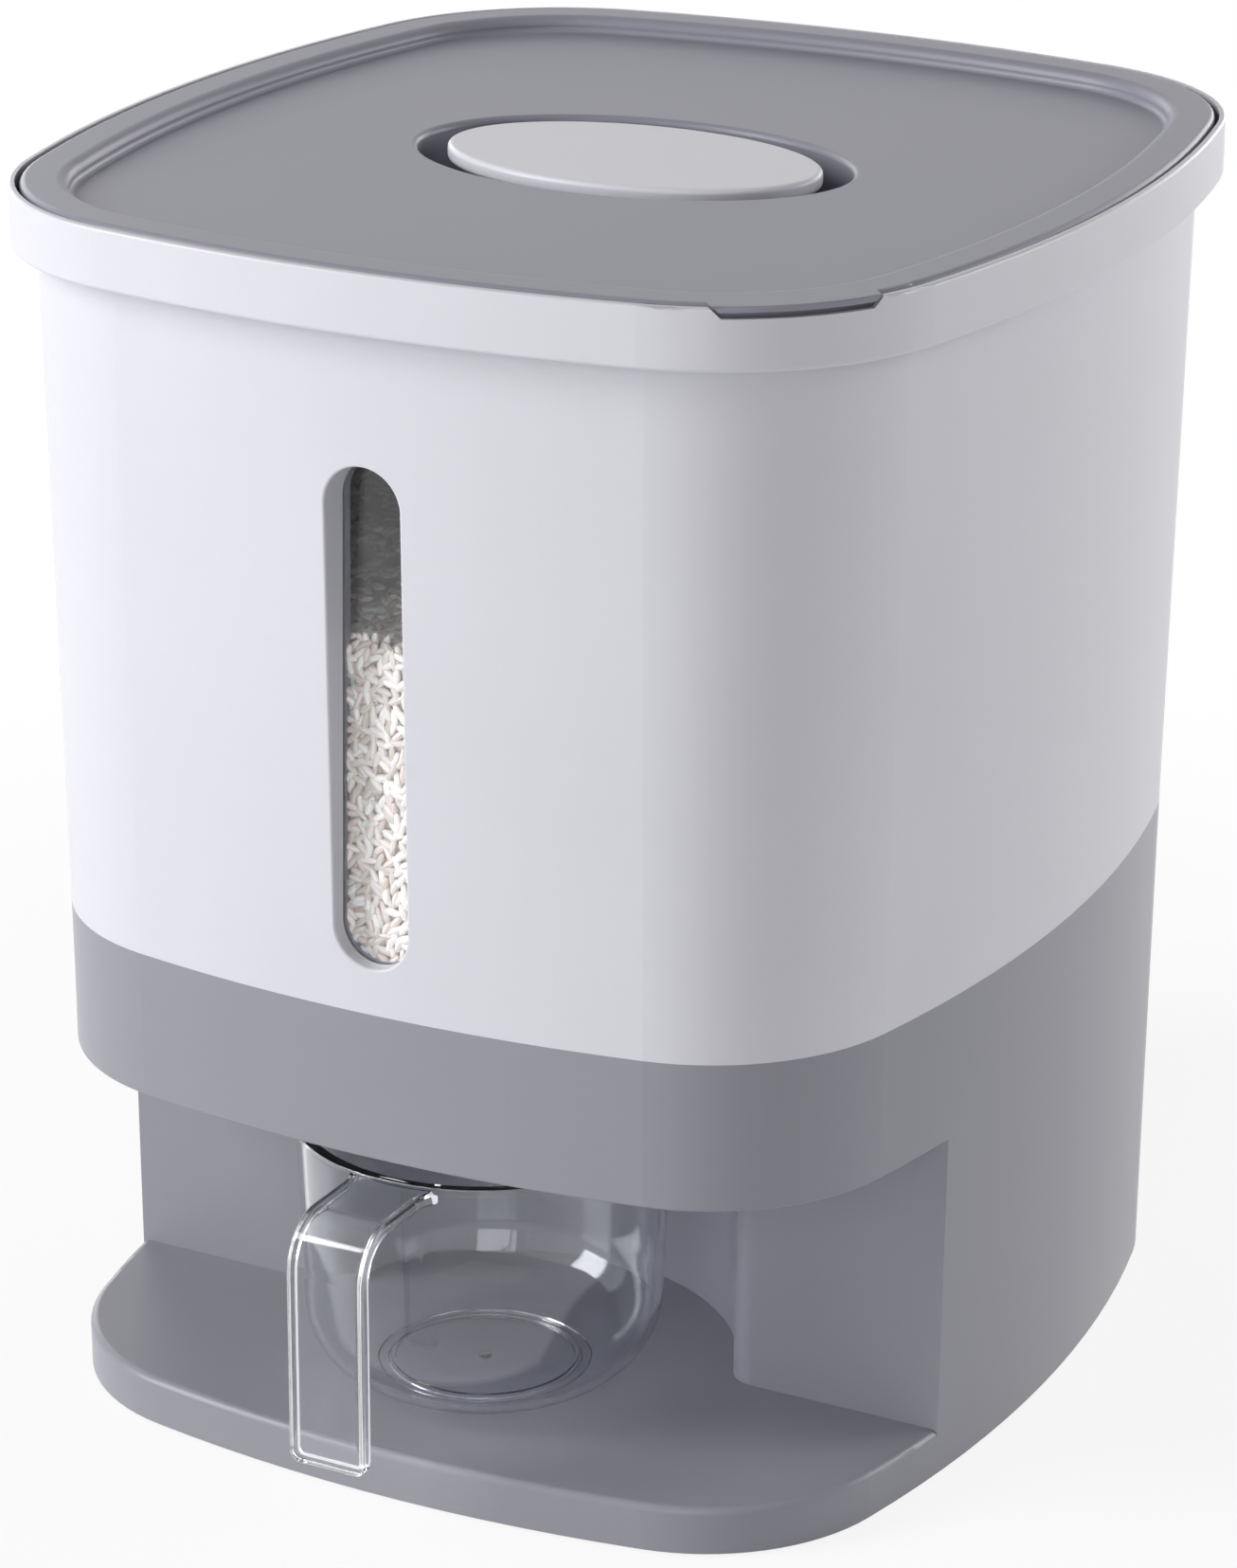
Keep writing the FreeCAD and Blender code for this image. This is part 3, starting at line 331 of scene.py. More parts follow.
@dataclass(frozen=True)
class ClearPlastic:
    """Polished clear plastic with a trace of handling haze."""

    name: str
    index: float = 1.49
    roughness: float = 0.02
    haze: float = 0.05
    haze_size: float = 25 * MM
    haze_detail: float = 4.0
    haze_power: float = 3.0
    tint: Colour = (0.93, 0.95, 0.97)
    tint_spread: float = 0.04
    shadow: OpaqueColour = (0.93, 0.94, 0.96, 1.0)

    def material(self) -> bpy.types.Material:
        """Builds the material.

        Returns:
            The material.
        """
        surface = Surface(self.name, IOR=self.index, Transmission_Weight=1.0)
        cloud = surface.noise(self.haze_size, self.haze_detail)
        low, high = shade(self.tint, 1.0), shade(self.tint, 1 + self.tint_spread)
        surface.feed("Base Color", surface.between(cloud, low, high))
        surface.feed("Roughness", self.roughness + cloud ** self.haze_power * self.haze)
        surface.let_light_through(self.shadow)
        return surface.material


@dataclass(frozen=True)
class SoftRubber:
    """Matte rubber or silicone with a dusty bloom."""

    name: str
    colour: Colour
    roughness: float = 0.62
    bloom_size: float = 6 * MM
    bloom_detail: float = 4.0
    bloom: float = 0.12
    grain_size: float = 0.3 * MM
    grain_depth: float = 0.02 * MM
    grain_strength: float = 0.3

    def material(self) -> bpy.types.Material:
        """Builds the material.

        Returns:
            The material.
        """
        surface = Surface(self.name)
        cloud = surface.noise(self.bloom_size, self.bloom_detail)
        low, high = shade(self.colour, 1 - self.bloom), shade(self.colour, 1 + self.bloom)
        surface.feed("Base Color", surface.between(cloud, low, high))
        surface.feed("Roughness", self.roughness + cloud * self.bloom)
        surface.bump(surface.noise(self.grain_size), self.grain_depth, self.grain_strength)
        return surface.material


@dataclass(frozen=True)
class PlatedSteel:
    """Zinc plated or bright drawn steel with fine scratches."""

    name: str
    colour: Colour
    roughness: float = 0.3
    stain_size: float = 2.5 * MM
    stain_detail: float = 5.0
    stain_dark: float = 0.85
    stain_light: float = 1.1
    stain_dulling: float = 0.18
    scratch_size: float = 0.2 * MM
    scratch_depth: float = 0.01 * MM
    scratch_strength: float = 0.2

    def material(self) -> bpy.types.Material:
        """Builds the material.

        Returns:
            The material.
        """
        surface = Surface(self.name, Metallic=1.0)
        stain = surface.noise(self.stain_size, self.stain_detail)
        low, high = shade(self.colour, self.stain_dark), shade(self.colour, self.stain_light)
        surface.feed("Base Color", surface.between(stain, low, high))
        surface.feed("Roughness", self.roughness + stain * self.stain_dulling)
        surface.bump(surface.noise(self.scratch_size), self.scratch_depth, self.scratch_strength)
        return surface.material


@dataclass(frozen=True)
class PolishedRice:
    """Milled rice: chalky hearts in translucent grains, each grain of its own tone."""

    name: str
    attribute: str = "grain_tone"
    dark: OpaqueColour = (0.50, 0.42, 0.37, 1.0)
    light: OpaqueColour = (0.86, 0.80, 0.77, 1.0)
    tone_share: float = 0.75
    chalk_size: float = 1.6 * MM
    chalk_depth: float = 0.05 * MM
    chalk_strength: float = 0.4
    roughness: float = 0.34
    chalk_dulling: float = 0.2
    translucence: float = 0.25
    translucent_depth: float = 0.8 * MM

    def material(self) -> bpy.types.Material:
        """Builds the material.

        Returns:
            The material.
        """
        surface = Surface(self.name, Subsurface_Weight=self.translucence,
                          Subsurface_Scale=self.translucent_depth)
        grain = Value(surface.node("ShaderNodeAttribute", {"attribute_name": self.attribute}).outputs["Fac"])
        chalk = surface.noise(self.chalk_size)
        tone = grain * self.tone_share + chalk * (1 - self.tone_share)
        surface.feed("Base Color", surface.between(tone, self.dark, self.light))
        surface.feed("Roughness", self.roughness + chalk * self.chalk_dulling)
        surface.bump(chalk, self.chalk_depth, self.chalk_strength)
        return surface.material


class Palette:
    """All finishes, each built once."""

    slots: dict[Slot, MouldedPlastic | ClearPlastic | SoftRubber | PlatedSteel] = {
        Slot.WHITE: MouldedPlastic("white plastic", colour=(0.596, 0.596, 0.640), roughness=0.33),
        Slot.GREY: MouldedPlastic("grey plastic", colour=(0.262, 0.262, 0.298), roughness=0.31),
        Slot.LID: MouldedPlastic("lid plastic", colour=(0.257, 0.255, 0.306), roughness=0.36),
        Slot.CLEAR: ClearPlastic("clear plastic"),
        Slot.SEAL: SoftRubber("silicone", colour=(0.62, 0.62, 0.62), roughness=0.45),
        Slot.FOOT: SoftRubber("foot rubber", colour=(0.035, 0.035, 0.038)),
        Slot.STEEL: PlatedSteel("zinc plated steel", colour=(0.62, 0.62, 0.63)),
        Slot.SPRING: PlatedSteel("spring steel", colour=(0.55, 0.55, 0.57), roughness=0.22),
    }
    # Painted light: a lightened copy of the white plastic, so the grip shows brighter than the lamps alone
    # make it; the grip's own plastic is the white one
    grip = MouldedPlastic("grip plastic with painted light", colour=(0.72, 0.72, 0.775), roughness=0.33)
    cup = ClearPlastic("cup plastic", tint=(0.92, 0.93, 0.95), shadow=(0.77, 0.77, 0.79, 1.0))
    grains = PolishedRice("polished rice")

    def __init__(self) -> None:
        """Builds every finish."""
        self.by_slot = {slot: finish.material() for slot, finish in self.slots.items()}
        self.lid_grip_painted_light = self.grip.material()
        self.thick_clear = self.cup.material()
        self.rice = self.grains.material()

    def of(self, slot: Slot) -> bpy.types.Material:
        """Finish of a slot."""
        return self.by_slot[slot]


# ---------------------------------------------------------------- mesh helpers


def verts_of(made: Iterable) -> list[BMVert]:
    """Vertices among mixed mesh elements."""
    return [element for element in made if isinstance(element, BMVert)]


def edges_between(verts: Iterable[BMVert], made: Iterable) -> list[BMEdge]:
    """Edges among mixed mesh elements that join two of the vertices."""
    known = set(verts)
    return [element for element in made if isinstance(element, BMEdge) and known.issuperset(element.verts)]


def boundary(mesh: BMesh) -> list[BMEdge]:
    """Edges with one face."""
    return [edge for edge in mesh.edges if edge.is_boundary]


def everything(mesh: BMesh) -> list[BMVert | BMEdge | BMFace]:
    """All of a mesh's elements."""
    return mesh.verts[:] + mesh.edges[:] + mesh.faces[:]


def extrude_ring(mesh: BMesh, ring: Sequence[BMEdge]) -> tuple[list[BMVert], list[BMEdge]]:
    """Extrudes a ring of edges in place.

    Args:
        mesh: Mesh of the ring.
        ring: Edges of the ring.

    Returns:
        The new ring's vertices and edges.
    """
    made = bmesh.ops.extrude_edge_only(mesh, edges=list(ring))["geom"]
    verts = verts_of(made)
    return verts, edges_between(verts, made)


def round_off(mesh: BMesh, parts: Sequence[BMVert | BMEdge], kind: str, radius: float, segments: int) -> None:
    """Rounds edges or corners over a radius.

    Args:
        mesh: Mesh to round.
        parts: The edges, or the corners' vertices.
        kind: EDGES or VERTICES.
        radius: How far each face steps back.
        segments: Number of faces or steps across the rounding.
    """
    bmesh.ops.bevel(mesh, geom=list(parts), affect=kind, offset=radius, offset_type="OFFSET",
                    segments=segments, profile=0.5, material=-1, clamp_overlap=True)


class Piece:
    """One named piece of the object while its mesh is being built."""

    sharp_angle = math.radians(32)

    def __init__(self, name: str, mesh: BMesh | None = None) -> None:
        """Starts a piece under a name, with a mesh that is there already or an empty one."""
        self.name = name
        self.mesh = bmesh.new() if mesh is None else mesh

    def finish(self, body: str, material: bpy.types.Material, slot: Slot | None = None,
               replaced: Sequence[str] = (), evened: bool = True) -> bpy.types.Object:
        """Makes the object and sets it on its body.

        Args:
            body: CAD body that the piece rides on.
            material: Its finish.
            slot: Record's slot that the finish belongs to, if any; not used.
            replaced: CAD nodes that the piece stands for.
            evened: Whether flat faces beside roundings are shaded flat.

        Returns:
            The object.
        """
        bmesh.ops.remove_doubles(self.mesh, verts=self.mesh.verts[:], dist=WELDED)
        bmesh.ops.recalc_face_normals(self.mesh, faces=self.mesh.faces[:])
        data = bpy.data.meshes.new(self.name)
        self.mesh.to_mesh(data)
        self.mesh.free()
        data.shade_smooth()
        data.set_sharp_from_angle(angle=self.sharp_angle)
        data.materials.append(material)
        made = bpy.data.objects.new(self.name, data)
        bpy.context.scene.collection.objects.link(made)
        if evened:
            weights = made.modifiers.new("even normals", "WEIGHTED_NORMAL")
            weights.keep_sharp = True
        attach(made, body)
        if replaced:
            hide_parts(*replaced)
        return made


# ---------------------------------------------------------------- rounded square


@dataclass(frozen=True)
class Outline:
    """Rounded square of four long side arcs and four corner arcs.

    A growth is how far an outline stands outside the one at the foot. The arcs' centres stay where they are.
    """

    half_width: float = 126.2 * MM
    half_depth: float = 137.6 * MM
    side_radius: float = 400 * MM
    corner_radius: float = 55.2 * MM
    side_steps: int = 12
    corner_steps: int = 16

    @property
    def side_centre(self) -> Vector:
        """Centre of the right side's arc."""
        return Vector((self.half_width - self.side_radius, 0, 0))

    @property
    def end_centre(self) -> Vector:
        """Centre of the back's arc."""
        return Vector((0, self.half_depth - self.side_radius, 0))

    @property
    def corner_centre(self) -> Vector:
        """Centre of the corner's arc at the right and back, which touches both long arcs.

        Returns:
            The centre.
        """
        across = self.end_centre - self.side_centre
        middle = (self.end_centre + self.side_centre) / 2
        reach = math.sqrt((self.side_radius - self.corner_radius) ** 2 - (across.length / 2) ** 2)
        return middle + Z_AXIS.cross(across).normalized() * reach

    def arc_at(self, place: Vector) -> tuple[Vector, float]:
        """Arc that rules a place.

        Args:
            place: Any place outside the arcs' inner crossings.

        Returns:
            Centre and radius at the foot of the arc whose sector holds the place.
        """
        folded = Vector((abs(place.x), abs(place.y), 0))
        corner = self.corner_centre
        out = folded - corner
        if (corner - self.side_centre).cross(out).z <= 0:
            centre, radius = self.side_centre, self.side_radius
        elif (corner - self.end_centre).cross(out).z >= 0:
            centre, radius = self.end_centre, self.side_radius
        else:
            centre, radius = corner, self.corner_radius
        x, y = math.copysign(centre.x, centre.x * place.x), math.copysign(centre.y, centre.y * place.y)
        return Vector((x, y, 0)), radius

    def growth_of(self, place: Vector) -> float:
        """How far outside the foot's outline a place lies."""
        centre, radius = self.arc_at(place)
        return (place.xy - centre.xy).length - radius

    def put(self, vert: BMVert, growth: float, height: float) -> None:
        """Moves a vertex straight out or in.

        Args:
            vert: The vertex.
            growth: Growth to move it to.
            height: Height to move it to.
        """
        centre, radius = self.arc_at(vert.co)
        out = (vert.co.xy - centre.xy).normalized() * (radius + growth)
        vert.co = (centre.x + out.x, centre.y + out.y, height)

    def ring(self, mesh: BMesh, growth: float, height: float) -> list[BMEdge]:
        """Draws a level ring: three arcs of a quarter, mirrored twice.

        Args:
            mesh: Mesh to draw in.
            growth: Growth of the ring.
            height: Height of the ring.

        Returns:
            The ring's edges.
        """
        before = set(mesh.edges)
        tip = [mesh.verts.new((self.half_width + growth, 0, height))]
        side, end, corner = self.side_centre, self.end_centre, self.corner_centre
        side_angle = math.atan2(corner.y - side.y, corner.x - side.x)
        end_angle = math.atan2(corner.y - end.y, corner.x - end.x)
        for centre, angle, steps in ((side, side_angle, self.side_steps),
                                     (corner, end_angle - side_angle, self.corner_steps),
                                     (end, QUARTER_TURN - end_angle, self.side_steps)):
            spun = bmesh.ops.spin(mesh, geom=tip, cent=centre, axis=Z_AXIS, angle=angle, steps=steps)
            tip = verts_of(spun["geom_last"])
        for axis in "XY":
            lines = [edge for edge in mesh.edges if edge not in before]
            ends = list(dict.fromkeys(vert for edge in lines for vert in edge.verts))
            bmesh.ops.mirror(mesh, geom=ends + lines, matrix=Matrix(), merge_dist=TOUCHING, axis=axis)
        return [edge for edge in mesh.edges if edge not in before]

    def extend(self, mesh: BMesh, ring: Sequence[BMEdge], growth: float, height: float) -> list[BMEdge]:
        """Extrudes a ring to another growth and height.

        Args:
            mesh: Mesh of the ring.
            ring: Edges of the ring.
            growth: Growth of the new ring.
            height: Height of the new ring.

        Returns:
            The new ring's edges.
        """
        verts, edges = extrude_ring(mesh, ring)
        for vert in verts:
            self.put(vert, growth, height)
        return edges


OUTLINE = Outline()


class Wire:
    """Wire in an upright plane, drawn from its start to its tip."""

    def __init__(self, mesh: BMesh, start: tuple[float, float]) -> None:
        """Starts at an (x, z) point of the plane y = 0.

        Args:
            mesh: Mesh to draw in.
            start: The point.
        """
        self.mesh = mesh
        self.start = mesh.verts.new((start[0], 0, start[1]))
        self.tip = self.start

    def to(self, *points: tuple[float, float]) -> list[BMVert]:
        """Draws straight lines.

        Args:
            points: Ends of the lines, as (x, z).

        Returns:
            The vertices at those ends.
        """
        ends = []
        for x, z in points:
            self.tip = bmesh.ops.extrude_vert_indiv(self.mesh, verts=[self.tip])["verts"][0]
            self.tip.co = (x, 0, z)
            ends.append(self.tip)
        return ends

    def turn(self, centre: tuple[float, float], angle: float, steps: int) -> None:
        """Draws an arc.

        Args:
            centre: Its centre, as (x, z).
            angle: Its angle in radians, positive from +Z towards +X.
            steps: Number of straight steps.
        """
        made = bmesh.ops.spin(self.mesh, geom=[self.tip], cent=(centre[0], 0, centre[1]), axis=Y_AXIS,
                              angle=angle, steps=steps)
        self.tip = verts_of(made["geom_last"])[0]

    def close(self) -> None:
        """Joins the tip to the start."""
        self.mesh.edges.new((self.tip, self.start))


def united(meshes: Sequence[BMesh]) -> BMesh:
    """Fuses closed shapes into one.

    Args:
        meshes: The shapes, which are used up.

    Returns:
        The fused shape.
    """
    made = []
    for mesh in meshes:
        bmesh.ops.recalc_face_normals(mesh, faces=mesh.faces[:])
        data = bpy.data.meshes.new("part of a union")
        mesh.to_mesh(data)
        mesh.free()
        made.append(bpy.data.objects.new("part of a union", data))
        bpy.context.scene.collection.objects.link(made[-1])
    for other in made[1:]:
        union = made[0].modifiers.new("union", "BOOLEAN")
        union.operation = "UNION"
        union.solver = "EXACT"
        union.object = other
    graph = bpy.context.evaluated_depsgraph_get()
    fused = bmesh.new()
    fused.from_mesh(made[0].evaluated_get(graph).to_mesh())
    for part in made:
        bpy.data.objects.remove(part)
    return fused


# ---------------------------------------------------------------- measuring cup


@dataclass(frozen=True)
class CupHandle:
    """Channel handle: it leaves the lip level, turns down over one bend and has a rim on three sides."""

    half_width: float = 11.0 * MM
    web: float = 2.0 * MM
    rim_depth: float = 4.0 * MM
    rim_width: float = 1.9 * MM
    bend: float = 14.0 * MM
    bend_steps: int = 20
    end_round: float = 3.0 * MM
    end_steps: int = 6
    edge_round: float = 0.75 * MM
    edge_steps: int = 3
    drop: float = 0.8 * MM
    end_rise: float = 7.2 * MM
    cut_off: float = 5.7 * MM
    flare: float = 2.6 * MM
    flare_length: float = 7.0 * MM
    flare_steps: int = 6
    corner_angle: float = math.radians(40)

    def build(self, low: Vector, high: Vector, axis_y: float, root: float) -> BMesh:
        """Builds the handle.

        Args:
            low: Lowest corner of the cup's box.
            high: Highest corner of the cup's box.
            axis_y: Place of the bowl's axis.
            root: Radius about that axis at which the handle ends inside the bowl's wall.

        Returns:
            The closed mesh.
        """
        mesh = bmesh.new()
        turn_y, turn_z = low.y + self.bend, high.z - self.drop - self.bend
        self._grip(mesh, low.y, low.z + self.end_rise, turn_z)
        spun = bmesh.ops.spin(mesh, geom=boundary(mesh), cent=(0, turn_y, turn_z), axis=X_AXIS,
                              angle=-QUARTER_TURN, steps=self.bend_steps)["geom_last"]
        self._arm(mesh, edges_between(verts_of(spun), spun), axis_y, root)
        return mesh

    def _grip(self, mesh: BMesh, front: float, low: float, high: float) -> None:
        """Builds the upright stretch: a shallow tray with a rim on three sides, open at its upper end.

        Args:
            mesh: Mesh to add to.
            front: Place of its front face.
            low: Height of its lower end.
            high: Height of its upper end, where the roundings of its top edges are cut off.
        """
        wire = Wire(mesh, (-self.half_width, high + self.cut_off))
        corners = wire.to((-self.half_width, low), (self.half_width, low))
        wire.to((self.half_width, high + self.cut_off))
        wire.close()
        round_off(mesh, corners, "VERTICES", self.end_round, self.end_steps)
        face = bmesh.ops.contextual_create(mesh, geom=mesh.edges[:])["faces"][0]
        pushed = bmesh.ops.extrude_face_region(mesh, geom=[face])["geom"]
        bmesh.ops.translate(mesh, verts=verts_of(pushed), vec=Y_AXIS * self.rim_depth)
        back = [element for element in pushed if isinstance(element, BMFace)]
        bmesh.ops.inset_region(mesh, faces=back, thickness=self.rim_width, use_even_offset=True)
        sunk = bmesh.ops.extrude_face_region(mesh, geom=back)["geom"]
        bmesh.ops.translate(mesh, verts=verts_of(sunk), vec=Y_AXIS * (self.web - self.rim_depth))
        bmesh.ops.delete(mesh, geom=back, context="FACES_ONLY")
        bmesh.ops.translate(mesh, verts=mesh.verts[:], vec=Y_AXIS * front)
        bmesh.ops.recalc_face_normals(mesh, faces=mesh.faces[:])
        sharp = [edge for edge in mesh.edges if edge.calc_face_angle(0) > self.corner_angle]
        round_off(mesh, sharp, "EDGES", self.edge_round, self.edge_steps)
        bmesh.ops.bisect_plane(mesh, geom=everything(mesh), dist=TOUCHING, plane_co=(0, 0, high),
                               plane_no=Z_AXIS, clear_outer=True)

    def _arm(self, mesh: BMesh, ring: Sequence[BMEdge], axis_y: float, root: float) -> None:
        """Builds the level stretch, which flares towards the bowl, and closes its curved end by triangles.

        Args:
            mesh: Mesh to add to.
            ring: Open upper end of the bend.
            axis_y: Place of the bowl's axis.
            root: Radius about that axis at which the stretch ends.
        """
        rim_start = self.half_width - self.rim_width - self.edge_round
        for step in range(self.flare_steps + 1):
            share, share_before = step / self.flare_steps, max(step - 1, 0) / self.flare_steps
            widening = self.flare * (share ** 2 - share_before ** 2)
            verts, ring = extrude_ring(mesh, ring)
            for vert in verts:
                if abs(vert.co.x) > rim_start:
                    vert.co.x += math.copysign(widening, vert.co.x)
                wall_y = axis_y - math.sqrt(root ** 2 - vert.co.x ** 2)
                vert.co.y = wall_y - self.flare_length * (1 - share)
        bmesh.ops.triangulate(mesh, faces=bmesh.ops.contextual_create(mesh, geom=ring)["faces"])


@dataclass(frozen=True)
class MeasuringCup:
    """Clear cup: a turned bowl with a lip, a foot ring and a floor ring, and its handle."""

    wall: float = 1.9 * MM
    lip: float = 1.0 * MM
    lip_height: float = 2.0 * MM
    knee_radius: float = 47.3 * MM
    knee_rise: float = 23.0 * MM
    corner: float = 22.0 * MM
    corner_steps: int = 14
    foot_radius: float = 29.0 * MM
    foot_width: float = 3.0 * MM
    foot_height: float = 1.6 * MM
    ring_radius: float = 24.5 * MM
    ring_width: float = 1.2 * MM
    ring_height: float = 0.5 * MM
    nub_radius: float = 1.6 * MM
    nub_height: float = 0.8 * MM
    edge_round: float = 0.4 * MM
    edge_steps: int = 4
    fine_round: float = 0.2 * MM
    fine_steps: int = 3
    turn_steps: int = 128
    handle: CupHandle = field(default_factory=CupHandle)

    def build(self, palette: Palette) -> list[bpy.types.Object]:
        """Builds the cup where the CAD cup stands.

        Args:
            palette: Finishes of the object.

        Returns:
            The cup alone.
        """
        low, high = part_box("measuring_cup")
        mouth = high.x - self.lip
        axis_y = high.y - high.x
        bowl = self._bowl(low.z, high.z, mouth)
        bmesh.ops.translate(bowl, verts=bowl.verts[:], vec=(0, axis_y, 0))
        handle = self.handle.build(low, high, axis_y, mouth - self.wall / 2)
        piece = Piece("clear_measuring_cup", united([bowl, handle]))
        return [piece.finish("cup", palette.thick_clear, Slot.CLEAR, ["measuring_cup"])]

    def _bowl(self, bottom: float, top: float, mouth: float) -> BMesh:
        """Turns the bowl about the Z axis.

        Args:
            bottom: Height of the foot.
            top: Height of the lip.
            mouth: Outer radius under the lip.

        Returns:
            The closed mesh.
        """
        mesh = bmesh.new()
        recess = bottom + self.foot_height
        under_lip = top - self.lip_height
        turn_x, turn_z = self.knee_radius - self.corner, bottom + self.knee_rise
        floor = turn_z - (self.corner - self.wall)
        ring_top, nub_top = floor + self.ring_height, floor + self.nub_height
        ring_in, ring_out = self.ring_radius - self.ring_width / 2, self.ring_radius + self.ring_width / 2
        foot_angle = math.acos((self.foot_radius - turn_x) / self.corner)
        foot_in = self.foot_radius - self.foot_width

        wire = Wire(mesh, (0, recess))
        foot = wire.to((foot_in, recess), (foot_in, bottom), (self.foot_radius, bottom))
        wire.to((self.foot_radius, turn_z - self.corner * math.sin(foot_angle)))
        wire.turn((turn_x, turn_z), -foot_angle, self.corner_steps)
        rim = wire.to((mouth, under_lip), (mouth + self.lip, under_lip), (mouth + self.lip, top),
                      (mouth - self.wall, top))
        wire.to((turn_x + self.corner - self.wall, turn_z))
        wire.turn((turn_x, turn_z), QUARTER_TURN, self.corner_steps)
        ridges = wire.to((ring_out, floor), (ring_out, ring_top), (ring_in, ring_top), (ring_in, floor),
                         (self.nub_radius, floor), (self.nub_radius, nub_top))
        wire.to((0, nub_top))
        round_off(mesh, foot + rim, "VERTICES", self.edge_round, self.edge_steps)
        round_off(mesh, ridges, "VERTICES", self.fine_round, self.fine_steps)

        bmesh.ops.spin(mesh, geom=mesh.verts[:] + mesh.edges[:], cent=(0, 0, 0), axis=Z_AXIS, angle=FULL_TURN,
                       steps=self.turn_steps, use_merge=True)
        bmesh.ops.remove_doubles(mesh, verts=mesh.verts[:], dist=TOUCHING)
        return mesh


# ---------------------------------------------------------------- lid grip, feet and springs


@dataclass(frozen=True)
class LidGrip:
    """Oval grip plate on a stem, standing in the lid's well."""

    stem_half_length: float = 36.0 * MM
    stem_half_width: float = 16.0 * MM
    plate_thickness: float = 4.5 * MM
    plate_round: float = 1.4 * MM
    round_steps: int = 6
    oval_steps: int = 128

    def build(self, palette: Palette) -> list[bpy.types.Object]:
        """Builds the grip where the CAD grip stands.

        Args:
            palette: Finishes of the object.

        Returns:
            The grip alone.
        """
        low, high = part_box("lid_handle")
        piece = Piece("oval_lid_grip")
        mesh = piece.mesh
        foot = bmesh.ops.create_circle(mesh, cap_ends=True, segments=self.oval_steps, radius=1)["verts"]
        bmesh.ops.scale(mesh, verts=foot, vec=(self.stem_half_length, self.stem_half_width, 1))
        bmesh.ops.translate(mesh, verts=foot, vec=Z_AXIS * low.z)
        neck, neck_ring = extrude_ring(mesh, boundary(mesh))
        bmesh.ops.translate(mesh, verts=neck, vec=Z_AXIS * (high.z - self.plate_thickness - low.z))
        lower, lower_ring = extrude_ring(mesh, neck_ring)
        wider = (high.x / self.stem_half_length, high.y / self.stem_half_width, 1)
        bmesh.ops.scale(mesh, verts=lower, vec=wider)
        upper, upper_ring = extrude_ring(mesh, lower_ring)
        bmesh.ops.translate(mesh, verts=upper, vec=Z_AXIS * self.plate_thickness)
        bmesh.ops.contextual_create(mesh, geom=upper_ring)
        round_off(mesh, lower_ring + upper_ring, "EDGES", self.plate_round, self.round_steps)
        # The grip wears the lightened copy of the white plastic as painted light, while its slot stays the
        # white one
        return [piece.finish("lid", palette.lid_grip_painted_light, Slot.WHITE, ["lid_handle"])]


@dataclass(frozen=True)
class RubberFeet:
    """Round feet set into the bottom cover: four near the corners and one in the middle."""

    radius: float = 9.0 * MM
    edge_round: float = 0.5 * MM
    edge_steps: int = 4
    disc_steps: int = 64

    def build(self, palette: Palette) -> list[bpy.types.Object]:
        """Builds the feet where the CAD feet are.

        Args:
            palette: Finishes of the object.

        Returns:
            All feet as one piece.
        """
        low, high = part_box("rubber_feet")
        reach_x, reach_y = high.x - self.radius, high.y - self.radius
        piece = Piece("round_rubber_feet")
        mesh = piece.mesh
        places = [(side * reach_x, end * reach_y) for side in (-1, 1) for end in (-1, 1)]
        for x, y in places + [(0, 0)]:
            made = bmesh.ops.create_cone(mesh, cap_ends=True, segments=self.disc_steps, radius1=self.radius,
                                         radius2=self.radius, depth=high.z - low.z)["verts"]
            bmesh.ops.translate(mesh, verts=made, vec=(x, y, (high.z + low.z) / 2))
        below = [edge for edge in mesh.edges if max(vert.co.z for vert in edge.verts) < low.z + TOUCHING]
        round_off(mesh, below, "EDGES", self.edge_round, self.edge_steps)
        return [piece.finish("base", palette.of(Slot.FOOT), Slot.FOOT, ["rubber_feet"])]


@dataclass(frozen=True)
class GateSprings:
    """Two extension springs beside the gate, which shorten as it shuts."""

    wire_radius: float = 0.3 * MM
    coil_radius: float = 1.8 * MM
    turns: int = 22
    wire_steps: int = 8
    steps_per_turn: int = 20
    closed_share: float = 0.464

    def build(self, palette: Palette) -> list[bpy.types.Object]:
        """Builds the springs where the CAD springs are.

        Args:
            palette: Finishes of the object.

        Returns:
            Both springs as one piece.
        """
        low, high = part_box("gate_springs")
        piece = Piece("gate_spring_pair")
        mesh = piece.mesh
        centre_x, centre_z = high.x - self.coil_radius - self.wire_radius, (low.z + high.z) / 2
        length = high.y - low.y - 2 * self.wire_radius
        for side in (-1, 1):
            self._coil(mesh, Vector((side * centre_x, low.y + self.wire_radius, centre_z)), length)
        bmesh.ops.holes_fill(mesh, edges=boundary(mesh))
        made = piece.finish("base", palette.of(Slot.SPRING), Slot.SPRING, ["gate_springs"], evened=False)
        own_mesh(made)
        return [made]

    def _coil(self, mesh: BMesh, start: Vector, length: float) -> None:
        """Winds one spring, open at the wire's ends.

        Args:
            mesh: Mesh to add to.
            start: Place on the coil's axis where the wire starts.
            length: How far the wire's end lies behind its start.
        """
        steps = self.turns * self.steps_per_turn
        known = set(mesh.verts)
        section = bmesh.ops.create_circle(mesh, cap_ends=False, segments=self.wire_steps,
                                          radius=self.wire_radius)["verts"]
        bmesh.ops.rotate(mesh, verts=section, matrix=Matrix.Rotation(QUARTER_TURN, 3, "X"))
        bmesh.ops.translate(mesh, verts=section, vec=start + X_AXIS * self.coil_radius)
        ring = [edge for edge in mesh.edges if not known.intersection(edge.verts)]
        bmesh.ops.spin(mesh, geom=section + ring, cent=start, axis=Y_AXIS, dvec=Y_AXIS * (length / steps),
                       angle=FULL_TURN * self.turns, steps=steps)


# ---------------------------------------------------------------- rice


